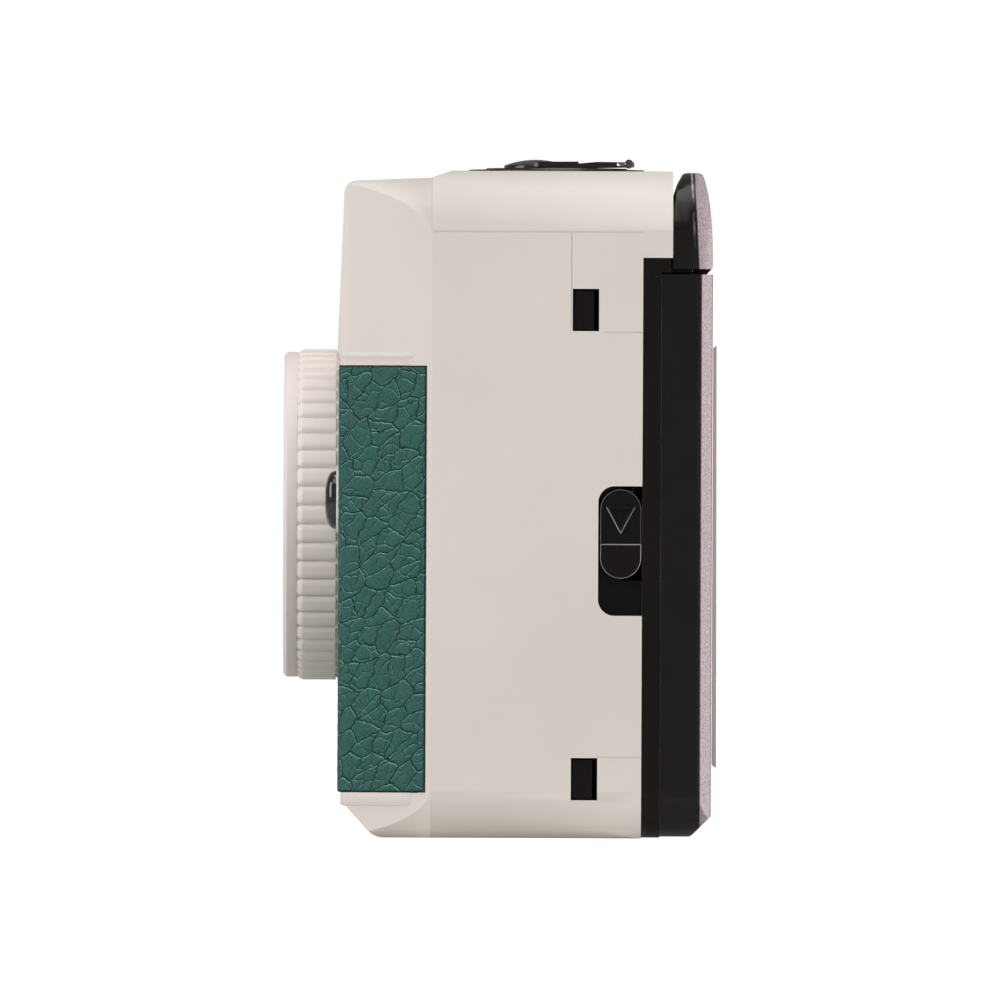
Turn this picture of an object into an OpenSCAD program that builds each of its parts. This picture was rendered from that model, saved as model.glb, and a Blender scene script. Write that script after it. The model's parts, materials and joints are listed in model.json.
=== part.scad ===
// Half frame 35 mm camera with a built-in flash. X runs across the body, -Y is the lens side, Z is up.
// The origin is under the middle of the whole camera, on the face that it stands on.
$fn = 72;

/* [Body] */
// Width across the body
body_w = 110; // [108:0.5:114]
// Height of the deck above the base
deck_h = 60.8; // [60.6:0.2:64]
// Drop of the front cover's top below the deck
deck_step = 0.6; // [0.4:0.1:1.2]
// Radius of the two upper edges
top_r = 5.8; // [4.6:0.1:6.4]
// Radius of the two lower edges
base_r = 4.6; // [3.6:0.1:5.4]
// Wall of the cream mouldings
wall = 1.6; // [1.3:0.1:1.7]
// Depth of the front cover
cover_d = 8.2; // [8:0.1:8.8]
// Depth of the middle shell along the sides
shell_d = 19.2; // [19.2:0.1:20]
// Depth of the black rim between shell and door
rim_d = 1.7; // [1.5:0.1:1.9]
// Depth of the back door
door_d = 5.2; // [5:0.1:5.8]
// Width lost on each side by the slanted front corners
corner_in = 3.3; // [2.8:0.1:3.8]

/* [Lens and flash ring] */
// Height of the lens axis
lens_z = 29.4; // [29:0.1:30]
// Distance that the flash ring stands out of the front face
ring_stand = 5.5; // [5:0.1:6]
// Outer diameter over the ribs of the flash ring
ring_dia = 30.4; // [29.6:0.2:31.2]
// Number of ribs round the flash ring
rib_count = 54; // [48:1:60]
// Depth of the grooves between the ribs
rib_depth = 0.45; // [0.3:0.05:0.6]
// Diameter of the sleeve that the flash ring turns on
sleeve_dia = 24.4; // [24:0.1:24.8]
// Diameter of the lens opening
aperture_dia = 2.3; // [2:0.1:3]

/* [Film path] */
// Width of one half frame
gate_w = 18; // [17.6:0.1:18.4]
// Height of the frame
gate_h = 24; // [23.6:0.1:24.4]
// Width of the film
film_w = 35; // [34.8:0.1:35]
// Distance of the cassette's axis from the lens axis
cassette_x = 39; // [39:0.1:39.4]
// Inner diameter of the cassette chamber
cassette_dia = 26; // [25.6:0.1:26.2]
// Distance of the take-up spool's axis from the lens axis
spool_x = 40.4; // [40:0.1:40.6]
// Diameter of the take-up spool's core
spool_dia = 10; // [9:0.5:12]
// Inner diameter of the take-up chamber
take_up_dia = 22.4; // [22:0.1:22.6]
// Distance of the sprocket's axis from the lens axis
sprocket_x = 18.2; // [18:0.1:18.6]
// Diameter of the sprocket's toothed rims at the film
sprocket_dia = 12.1; // [11.9:0.1:12.1]

/* [Controls] */
// Diameter of the rewind disc
knob_dia = 16.2; // [15.6:0.1:16.6]
// Lift of the rewind knob when a cassette goes in
knob_lift = 4.2; // [3.6:0.1:4.2]
// Diameter of the thumb wheel that advances the film
thumb_dia = 22.8; // [22.4:0.1:23]
// Diameter of the shutter button
button_dia = 8.6; // [8:0.1:9]
// Travel of the shutter button
button_travel = 1.1; // [0.8:0.1:1.2]
// Travel of the door latch
latch_travel = 3.2; // [2.6:0.1:3.2]

/* [Flash and battery] */
// Width of the flash window
flash_w = 20; // [18:0.5:21]
// Height of the flash window
flash_h = 9.4; // [8.6:0.1:9.8]
// Diameter of the battery's tube
battery_dia = 10.8; // [10.6:0.1:11]

/* [Fits] */
// Radial clearance of a shaft or ring that turns
run_fit = 0.08; // [0.05:0.01:0.1]
// Gap round a piece that slides or drops in
slip = 0.2; // [0.15:0.05:0.25]

/* [Hidden] */

half_w = body_w / 2;
depth = ring_stand + cover_d + shell_d + rim_d + door_d;
ring_y = -depth / 2;
face_y = ring_y + ring_stand;
seam_y = face_y + cover_d;
rim_y = seam_y + shell_d;
door_y = rim_y + rim_d;
back_y = door_y + door_d;
cover_h = deck_h - deck_step;
far = 100;

function unit(v) = v / norm(v);
// The tangent point, centre and tangent point of a round of radius r at p, between a and b
function round_at(a, p, b, r) =
    let (u = unit(a - p), v = unit(b - p), half = acos(u * v) / 2, run = r / tan(half))
    [p + u * run, p + unit(u + v) * r / sin(half), p + v * run];

// A polygon whose convex corners each take their own radius. Each round is a hair larger than the one that
// would touch both sides, so that it crosses them cleanly.
module round_poly(pts, radii) {
    n = len(pts);
    difference() {
        polygon(pts);
        for (i = [0:n - 1]) if (radii[i] > 0) {
            c = round_at(pts[(i + n - 1) % n], pts[i], pts[(i + 1) % n], radii[i]);
            difference() {
                polygon([pts[i], c[0], c[1], c[2]]);
                translate(c[1]) circle(radii[i] * 1.003);
            }
        }
    }
}
// The same outline with each round as a run of short edges, for forms made by crossing several outlines
module soft_poly(pts, radii, steps = 6) {
    n = len(pts);
    polygon([for (i = [0:n - 1]) each radii[i] == 0 ? [pts[i]] :
        let (c = round_at(pts[(i + n - 1) % n], pts[i], pts[(i + 1) % n], radii[i]),
            u = c[0] - c[1], v = c[2] - c[1], a = acos(u * v / (radii[i] * radii[i])))
        [for (k = [0:steps]) c[1] + (u * sin(a * (1 - k / steps)) + v * sin(a * k / steps)) / sin(a)]]);
}
module round_rect(a0, a1, b0, b1, r) round_poly([[a0, b0], [a1, b0], [a1, b1], [a0, b1]], [r, r, r, r]);
module box(x0, x1, y0, y1, z0, z1) translate([x0, y0, z0]) cube([x1 - x0, y1 - y0, z1 - z0]);
module along_x(x0, x1) translate([x0, 0, 0]) rotate([90, 0, 90]) linear_extrude(x1 - x0) children();
module along_y(y0, y1) translate([0, y1, 0]) rotate([90, 0, 0]) linear_extrude(y1 - y0) children();
module along_z(z0, z1) translate([0, 0, z0]) linear_extrude(z1 - z0) children();
module rod_y(x, z, r, y0, y1) translate([x, y1, z]) rotate([90, 0, 0]) cylinder(y1 - y0, r, r);
module rod_x(y, z, r, x0, x1) translate([x0, y, z]) rotate([0, 90, 0]) cylinder(x1 - x0, r, r);
module rod_z(x, y, r, z0, z1) translate([x, y, z0]) cylinder(z1 - z0, r, r);
module both_sides() for (s = [0, 1]) mirror([s, 0, 0]) children();

// A coil spring along Z from z = 0 to h: mean radius r, wire radius w, with the turns given
module coil(r, w, h, turns, r_top = -1) {
    sides = 6;
    per_turn = 14;
    n = turns * per_turn;
    end_r = r_top < 0 ? r : r_top;
    rings = [for (i = [0:n]) let (
        a = 360 * i / per_turn,
        rr = r + (end_r - r) * i / n,
        z = w + (h - 2 * w) * i / n
    ) [for (k = [0:sides - 1]) let (b = 360 * k / sides)
        [(rr + w * cos(b)) * cos(a), (rr + w * cos(b)) * sin(a), z + w * sin(b)]]];
    polyhedron([for (ring = rings) each ring], concat(
        [for (i = [0:n - 1], k = [0:sides - 1]) let (j = (k + 1) % sides)
            each [[i * sides + k, (i + 1) * sides + k, (i + 1) * sides + j],
                  [i * sides + k, (i + 1) * sides + j, i * sides + j]]],
        [[for (k = [0:sides - 1]) k], [for (k = [sides - 1:-1:0]) n * sides + k]]));
}

// ---- Outlines of the body ----
// Front outline, drawn in by i all round
module body_2d(i = 0, top = deck_h) round_poly(
    [[i - half_w, i], [half_w - i, i], [half_w - i, top - i], [i - half_w, top - i]],
    [base_r - i, base_r - i, top_r - i, top_r - i]);

bead = 0.4;
bead_z = lens_z + 15;
toe_d = 3.1;
toe_h = 3.4;
lean = 0.2;
pad_top = lens_z + 13.6;
pad_base = 4.1;
pad_t = 0.5;
pad_proud = 0.1;
pad_y1 = seam_y - 0.6;

// Side outline of the front cover: rounded toe, flat front, bead, and an upper strip that leans back
module cover_side_2d(i, back) soft_poly(
    [[face_y + i, toe_h + i * 0.4], [face_y + toe_d + i * 0.4, i], [back, i], [back, cover_h - i],
     [face_y + lean + i, cover_h - 0.4 - i], [face_y - bead + i, bead_z], [face_y + i, bead_z - 1]],
    [1, 2, 0, 0, 1.1, 0.3, 0]);
// Plan outline of the front cover, with its slanted corners
module cover_plan_2d(i, back, front = face_y - bead - 0.3, r = 2) {
    back_x = half_w - i + corner_in * (back - seam_y) / cover_d;
    front_x = half_w - i - corner_in * (seam_y - front - i) / cover_d;
    soft_poly([[back_x, back], [-back_x, back], [-front_x, front + i], [front_x, front + i]], [0, 0, r, r]);
}
module cover_form(i, back) intersection() {
    along_y(face_y - 1, back) body_2d(i - 0.02, cover_h);
    along_z(-1, deck_h) cover_plan_2d(i, back + 1);
    along_x(-far, far) cover_side_2d(i, back + 1);
}

// ---- Places of the controls ----
finder_z = cover_h - 5.5;
finder_w = 4.8;
finder_h = 5.8;
eye_w = 3.6;
eye_h = 4;
flash_x = cassette_x - 2;
flash_z = cover_h - 7.6;
lamp_x = ring_dia / 2 + 3.6;
lamp_z = lens_z + 1.35;
lamp_w = 3;
lamp_h = 5.4;
cassette_y = 5.1;
spool_y = 7.4;
film_y = door_y - 1;
sprocket_y = film_y - sprocket_dia / 2;
knob_y = cassette_y;
button_x = spool_x - 2.4;
button_y = 0;
dial_r = 7.6;
window_y = sprocket_y - 5;
battery_x = 18.4;
battery_y = 1;
cover_boss = [[25.2, 44.6], [-19, 49.2], [26, 6.6], [-26, 6.6]];
boss_r = 2.3;
screw_r = 0.9;
head_r = 1.9;

module front_cover() color([0.86, 0.82, 0.78]) difference() {
    union() {
        difference() {
            cover_form(0, seam_y);
            cover_form(wall, seam_y + 0.02);
        }
        intersection() {
            for (b = cover_boss) rod_y(b[0], b[1], boss_r, face_y + 1, seam_y);
            cover_form(0.5, seam_y);
        }
    }
    pad_recess();
    rod_y(0, lens_z, sleeve_dia / 2 + slip, face_y - 1, seam_y);
    for (b = cover_boss) rod_y(b[0], b[1], screw_r - 0.1, face_y + wall + 0.6, seam_y + 1);
    along_y(face_y - 1, seam_y) round_rect(-finder_w / 2 - 1, finder_w / 2 + 1, finder_z - finder_h / 2 - 0.7,
        finder_z + finder_h / 2 + 0.7, 0.8);
    along_y(face_y - 1, seam_y) round_rect(flash_x - flash_w / 2, flash_x + flash_w / 2,
        flash_z - flash_h / 2, flash_z + flash_h / 2, 1);
    along_y(face_y - 1, seam_y) round_rect(lamp_x - lamp_w / 2 + 0.4, lamp_x + lamp_w / 2 - 0.4,
        lamp_z - lamp_h / 2 + 0.4, lamp_z + lamp_h / 2 - 0.4, 0.9);
    ring_slot();
}

// Seat of the leatherette, sunk into the front face and the slanted corners
module pad_recess() intersection() {
    difference() {
        along_z(pad_base, pad_top) cover_plan_2d(-1, seam_y + 3);
        along_z(0, deck_h) cover_plan_2d(pad_t - pad_proud, seam_y + 4, face_y, 1);
    }
    along_x(-far, far) round_rect(face_y - 3, pad_y1, pad_base, pad_top, 0.7);
}
module leatherette() color([0.2, 0.36, 0.32]) difference() {
    intersection() {
        difference() {
            along_z(pad_base, pad_top) cover_plan_2d(-pad_proud, seam_y + 3, face_y, 1.3);
            along_z(0, deck_h) cover_plan_2d(pad_t - pad_proud, seam_y + 4, face_y, 1);
        }
        along_x(-far, far) round_rect(face_y - 3, pad_y1 - 0.05, pad_base + 0.05, pad_top - 0.05, 0.65);
    }
    rod_y(0, lens_z, ring_pin_r + 1.3, face_y - 2, seam_y);
    along_y(face_y - 2, seam_y) round_rect(lamp_x - lamp_w / 2 - 0.05, lamp_x + lamp_w / 2 + 0.05,
        lamp_z - lamp_h / 2 - 0.05, lamp_z + lamp_h / 2 + 0.05, 1.35);
}

module finder_window() color([0.7, 0.8, 0.85, 0.5]) intersection() {
    along_y(face_y - 1, face_y + wall + 0.2) round_rect(-finder_w / 2 - 0.95, finder_w / 2 + 0.95,
        finder_z - finder_h / 2 - 0.65, finder_z + finder_h / 2 + 0.65, 0.75);
    cover_form(0.15, seam_y);
}
module flash_window() color([0.85, 0.88, 0.9, 0.6]) intersection() {
    along_y(face_y - 1, face_y + 1.4) round_rect(flash_x - flash_w / 2 + 0.05, flash_x + flash_w / 2 - 0.05,
        flash_z - flash_h / 2 + 0.05, flash_z + flash_h / 2 - 0.05, 0.95);
    cover_form(0.1, seam_y);
}
// Dark glossy lens of the ready lamp: a domed pill with a stem through the front wall
module ready_lamp() color([0.06, 0.05, 0.05]) {
    intersection() {
        along_y(face_y - 1.5, face_y) round_rect(lamp_x - lamp_w / 2, lamp_x + lamp_w / 2,
            lamp_z - lamp_h / 2, lamp_z + lamp_h / 2, 1.4);
        along_x(lamp_x - lamp_w, lamp_x + lamp_w) translate([face_y + 5.1, lamp_z]) circle(6.5);
        along_z(lamp_z - far, lamp_z + far) translate([lamp_x, face_y + 1.8]) circle(3.2);
    }
    along_y(face_y - 0.2, face_y + wall + 1) round_rect(lamp_x - lamp_w / 2 + 0.5, lamp_x + lamp_w / 2 - 0.5,
        lamp_z - lamp_h / 2 + 0.5, lamp_z + lamp_h / 2 - 0.5, 0.8);
}

// ---- Flash ring and lens ----
flange_d = 1.4;
flange_r = ring_dia / 2 - 0.2;
flange_edge = 0.35;
ring_back = face_y - pad_proud - 0.3;
lip_r = sleeve_dia / 2 + 1;
ring_turn = 45;
// Ribbed outline: wide lands between narrow grooves
module ribs_2d(r) polygon([for (i = [0:rib_count - 1], k = [[-0.36, 0], [0.36, 0], [0.42, 1], [0.58, 1]])
    let (a = 360 * (i + k[0]) / rib_count, q = r - k[1] * rib_depth) [q * cos(a), q * sin(a)]]);
module flash_ring() color([0.82, 0.79, 0.76]) translate([0, 0, lens_z]) {
    difference() {
        union() {
            along_y(ring_y + flange_d + 0.5, ring_back) ribs_2d(ring_dia / 2);
            rotate([90, 0, 0]) rotate_extrude() polygon([
                [sleeve_dia / 2, -ring_back], [ring_dia / 2 - rib_depth, -ring_back],
                [ring_dia / 2 - rib_depth, -ring_y - flange_d - 0.2],
                [flange_r, -ring_y - flange_d], [flange_r, -ring_y - flange_edge],
                [flange_r - flange_edge, -ring_y], [sleeve_dia / 2, -ring_y]]);
        }
        rod_y(0, 0, sleeve_dia / 2 + run_fit, ring_y - 1, 0);
        rod_y(0, 0, lip_r + run_fit, ring_y - 1, ring_y + flange_d);
    }
    rod_y(-ring_pin_r, 0, 0.9, ring_back - 0.2, face_y + wall - 0.1);
}
ring_pin_r = sleeve_dia / 2 + 1.1;
// Arc slot in the front wall for the ring's switch pin
module ring_slot() translate([0, face_y + wall + 1, lens_z]) rotate([90, 0, 0])
    rotate([0, 0, 180 - 6]) rotate_extrude(angle = ring_turn + 12) translate([ring_pin_r - 1.15, 0])
        square([2.3, wall + 2]);

bezel_y = ring_y + 0.5;
cone_y = face_y + 1;
barrel_r = 6.6;
bezel_foot = sleeve_dia / 2 + 1.2;
// Cone in front of the lens, the sleeve that the ring turns on, and a foot behind the front wall
module lens_bezel() color([0.07, 0.07, 0.07]) translate([0, 0, lens_z]) rotate([90, 0, 0])
    rotate_extrude() polygon([
        [lip_r, -bezel_y], [lip_r, -ring_y - flange_d + 0.05], [sleeve_dia / 2, -ring_y - flange_d + 0.05],
        [sleeve_dia / 2, -face_y - wall], [bezel_foot, -face_y - wall - 0.02],
        [bezel_foot, -face_y - wall - 1], [barrel_r + 0.1, -face_y - wall - 1],
        [barrel_r + 0.1, -cone_y - 1], [4.6, -cone_y - 0.9], [4.6, -cone_y + 0.1],
        [sleeve_dia / 2 - 1.4, -bezel_y]]);

// Depths of the lens stack, counted from the shutter plate
plate_y0 = seam_y - 1.8;
plate_t = 0.6;
barrel_y0 = cone_y + 1.05;
front_seat_r = 4.5;
rear_seat_r = 3.6;
module lens_barrel() color([0.08, 0.08, 0.08]) translate([0, 0, lens_z]) difference() {
    rod_y(0, 0, barrel_r, barrel_y0, plate_y0);
    rod_y(0, 0, 2.6, barrel_y0 - 1, plate_y0 + 1);
    rod_y(0, 0, front_seat_r, barrel_y0 - 1, barrel_y0 + 1.6);
    rod_y(0, 0, rear_seat_r, plate_y0 - 1.2, plate_y0 + 1);
}
// A lens: a disc whose faces bulge by b0 to the front and b1 to the back
function cap_r(r, b) = (r * r + b * b) / (2 * b);
function sag(x, r) = r - sqrt(r * r - x * x);
module lens(r, t, b0, b1) rotate([-90, 0, 0]) rotate_extrude() polygon(concat(
    [for (k = [0:8]) [r * k / 8, sag(r * k / 8, cap_r(r, b0)) - b0]],
    [for (k = [8:-1:0]) [r * k / 8, t + b1 - sag(r * k / 8, cap_r(r, b1))]]));
module front_lens() color([0.6, 0.65, 0.8, 0.5]) translate([0, barrel_y0 + 0.4, lens_z])
    lens(front_seat_r - 0.08, 0.8, 0.9, 0.3);
module rear_lens() color([0.6, 0.7, 0.7, 0.5]) translate([0, plate_y0 - 0.9, lens_z])
    lens(rear_seat_r - 0.08, 0.35, 0.25, 0.25);

web_y0 = seam_y + 0.1;
web_y1 = web_y0 + 1.1;
blade_y = plate_y0 + plate_t + 0.2;
blade_t = 0.25;
blade_x = -8.5;
blade_z = lens_z + 7;
blade_pin_r = 0.7;
module shutter_plate() color([0.75, 0.75, 0.77]) difference() {
    union() {
        along_y(plate_y0, plate_y0 + plate_t) round_rect(-13, 13, lens_z - 9.6, lens_z + 11, 1.5);
        for (x = [-11.4, 11.4]) rod_y(x, lens_z - 8, 1.4, plate_y0 + plate_t - 0.1, web_y0);
        rod_y(blade_x, blade_z, blade_pin_r, plate_y0, web_y0 - 0.1);
    }
    rod_y(0, lens_z, aperture_dia / 2, plate_y0 - 1, web_y0);
}
// Single leaf that covers the opening and swings about its pivot post
module shutter_blade() color([0.15, 0.15, 0.16]) difference() {
    along_y(blade_y, blade_y + blade_t) union() {
        translate([0, lens_z]) circle(3.4);
        translate([blade_x, blade_z]) circle(1.8);
        polygon([[blade_x - 1.1, blade_z - 1.4], [-2.4, lens_z - 2.4], [1.4, lens_z + 3.1],
            [blade_x + 0.8, blade_z + 1.6]]);
        polygon([[blade_x - 0.8, blade_z + 1], [blade_x + 0.8, blade_z + 1], [blade_x + 0.5, blade_z + 5],
            [blade_x - 0.5, blade_z + 5]]);
    }
    rod_y(blade_x, blade_z, blade_pin_r + run_fit, blade_y - 1, blade_y + 1);
}
// Torsion spring of the blade: three turns round the post, in the gap behind the blade
module blade_spring() color([0.7, 0.7, 0.72]) translate([blade_x, blade_y + blade_t + 0.6, blade_z])
    rotate([90, 0, 0]) coil(1.15, 0.07, 0.55, 2);

lever_y0 = blade_y + blade_t + 0.05;
lever_t = 0.5;
kick_x = blade_x - 4.1;
lever_x = -24;
lever_z = 43.4;
lever_pin_r = 0.8;
stem_y = lever_y0 + lever_t / 2;
stem_z = lever_z + 3.4;
module release_lever() color([0.7, 0.7, 0.72]) difference() {
    along_y(lever_y0, lever_y0 + lever_t) union() {
        translate([lever_x, lever_z]) circle(2);
        polygon([[-button_x - 1.2, stem_z - 1.6], [lever_x, lever_z - 1.8], [lever_x, lever_z + 1.8],
            [-button_x + 1.2, stem_z - 0.2], [-button_x - 1.2, stem_z - 0.2]]);
        polygon([[lever_x, lever_z - 1.8], [kick_x, blade_z + 3.4], [kick_x, blade_z + 4.6],
            [lever_x, lever_z + 1.6]]);
    }
    rod_y(lever_x, lever_z, lever_pin_r + run_fit, lever_y0 - 1, lever_y0 + 1);
}

// ---- Shutter button ----
dish_d = 0.8;
module shutter_button() color([0.08, 0.08, 0.08]) {
    intersection() {
        rod_z(-button_x, button_y, button_dia / 2, deck_h - wall - 0.9, deck_h);
        translate([-button_x, button_y, deck_h - 24]) sphere(24);
    }
    rod_z(-button_x, button_y, button_dia / 2 + 0.7, deck_h - wall - 1, deck_h - wall - 0.3);
    box(-button_x - 1.4, -button_x + 1.4, stem_y - 0.9, button_y, cover_h - wall - 0.9, cover_h - wall - 0.2);
    box(-button_x - 1, -button_x + 1, stem_y - 0.9, stem_y + 0.9, stem_z + 0.1, cover_h - wall - 0.3);
}
ledge_x = lever_x - 4;
ledge_z = lever_z - 4.6;
module button_spring() color([0.7, 0.7, 0.72])
    translate([ledge_x, stem_y, ledge_z + 0.02]) coil(0.38, 0.09, 3.4, 5);

// ---- Middle shell ----
panel_z0 = deck_h - 8.9;
rim_top = panel_z0 + 1;
eye_z = panel_z0 + eye_h / 2 + 2.4;
hump_y = rim_y + 2.7;
door_top = panel_z0 - 0.5;
latch_z = 31.8;
latch_y = rim_y - 1.95;
latch_w = 3.7;
latch_l = 8.1;
pocket_z0 = latch_z - latch_l - latch_travel - 0.2;
pocket_z1 = latch_z + 0.3;
pocket_y0 = latch_y - latch_w / 2 - slip;
pocket_r = 1.5;
window_z = [3.5, 46.2];
window_h = 3.85;
window_y0 = rim_y - 6.4;
window_w = 2.4;
sleeve_r = 3.6;
cup_t = 1;
cup_z = deck_h - 2;
battery_door_w = battery_dia + 0.8;
door_gap = 0.15;
screw_x = 8.2;
screw_y = 9.4;
bar_z = 44;
bar_y = 2;

module shell_form(i) intersection() {
    along_y(seam_y - (i > 0 ? 1 : 0), hump_y + (i > 0 ? 1 : 0)) body_2d(i);
    along_x(-far, far) polygon([[seam_y - 1, i], [hump_y + 1, i], [hump_y + 1, deck_h - i],
        [seam_y + 1.8, deck_h - i], [seam_y, cover_h - i], [seam_y - 1, cover_h - i]]);
}
module body_shell() color([0.85, 0.81, 0.76]) {
    difference() {
        union() {
            difference() {
                shell_form(0);
                shell_form(wall);
            }
            rod_z(cassette_x, knob_y, knob_dia / 2 + slip + 1, cup_z - cup_t, deck_h - wall + 0.2);
        }
        box(-far, far, rim_y, hump_y + 1, -1, rim_top);
        rod_z(cassette_x, knob_y, knob_dia / 2 + slip, cup_z, deck_h + 1);
        rod_z(cassette_x, knob_y, sleeve_r + slip, cup_z - cup_t - 1, deck_h);
        shutter_hole();
        rod_z(-sprocket_x, window_y, 2, deck_h - wall - 1, deck_h + 1);
        rod_z(-sprocket_x, window_y, 2.6, deck_h - 0.8, deck_h + 1);
        rod_z(-sprocket_x, sprocket_y, release_r + slip, -1, wall + 1);
        box(battery_x - battery_door_w / 2 - door_gap, battery_x + battery_door_w / 2 + door_gap,
            battery_y - battery_door_w / 2 - door_gap, door_hinge_y + hinge_lug + door_gap, -1, wall + 1);
        for (x = [-screw_x, screw_x]) {
            rod_z(x, screw_y, screw_r + slip, -1, wall + 1);
            rod_z(x, screw_y, head_r + slip, -1, 0.9);
        }
        along_x(half_w - wall - 1, half_w + 1)
            round_poly([[pocket_y0, pocket_z0], [rim_y + 1, pocket_z0], [rim_y + 1, pocket_z1],
                [pocket_y0, pocket_z1]], [pocket_r, 0, 0, pocket_r]);
        both_sides() for (z = window_z)
            box(half_w - wall - 1, half_w + 1, window_y0, window_y0 + window_w, z, z + window_h);
        bar_recess();
    }
    bar_cup();
    rod_z(-sprocket_x, sprocket_y, 1.12, dial_z0 - 0.1, deck_h - wall + 0.1);
}
// Dished seat of the shutter button
module shutter_hole() {
    rod_z(-button_x, button_y, button_dia / 2 + slip, deck_h - wall - 1, deck_h + 1);
    translate([-button_x, button_y, deck_h - dish_d + 30]) sphere(30);
}
bar_h = 9;
bar_w = 4.4;
bar_in = 2.4;
bar_r = 0.8;
module bar_recess() along_x(-half_w - 1, -half_w + bar_in) round_rect(bar_y - bar_w / 2, bar_y + bar_w / 2,
    bar_z - bar_h / 2, bar_z + bar_h / 2, 1.2);
module bar_cup() difference() {
    along_x(-half_w + wall - 0.1, -half_w + bar_in + 0.9) round_rect(bar_y - bar_w / 2 - 0.9,
        bar_y + bar_w / 2 + 0.9, bar_z - bar_h / 2 - 0.9, bar_z + bar_h / 2 + 0.9, 2);
    bar_recess();
}
module strap_bar() color([0.75, 0.75, 0.77])
    rod_z(-half_w + 1.1, bar_y, bar_r, bar_z - bar_h / 2, bar_z + bar_h / 2);

// ---- Black chassis ----
fit = 0.1;
plate_y = rim_y - 1.1;
rail_y = rim_y + 0.2;
film_z0 = lens_z - film_w / 2;
film_z1 = lens_z + film_w / 2;
take_up_z0 = lens_z - 20.4;
take_up_z1 = lens_z + 20.4;
cassette_z0 = lens_z - 26;
cassette_z1 = lens_z + 22.2;
trough_t = 1.2;
mouth_h = 11;
mouth_w = 11;
tube_z1 = 49.2;
tube_wall = 0.9;
rim_w = 2.4;

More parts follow.
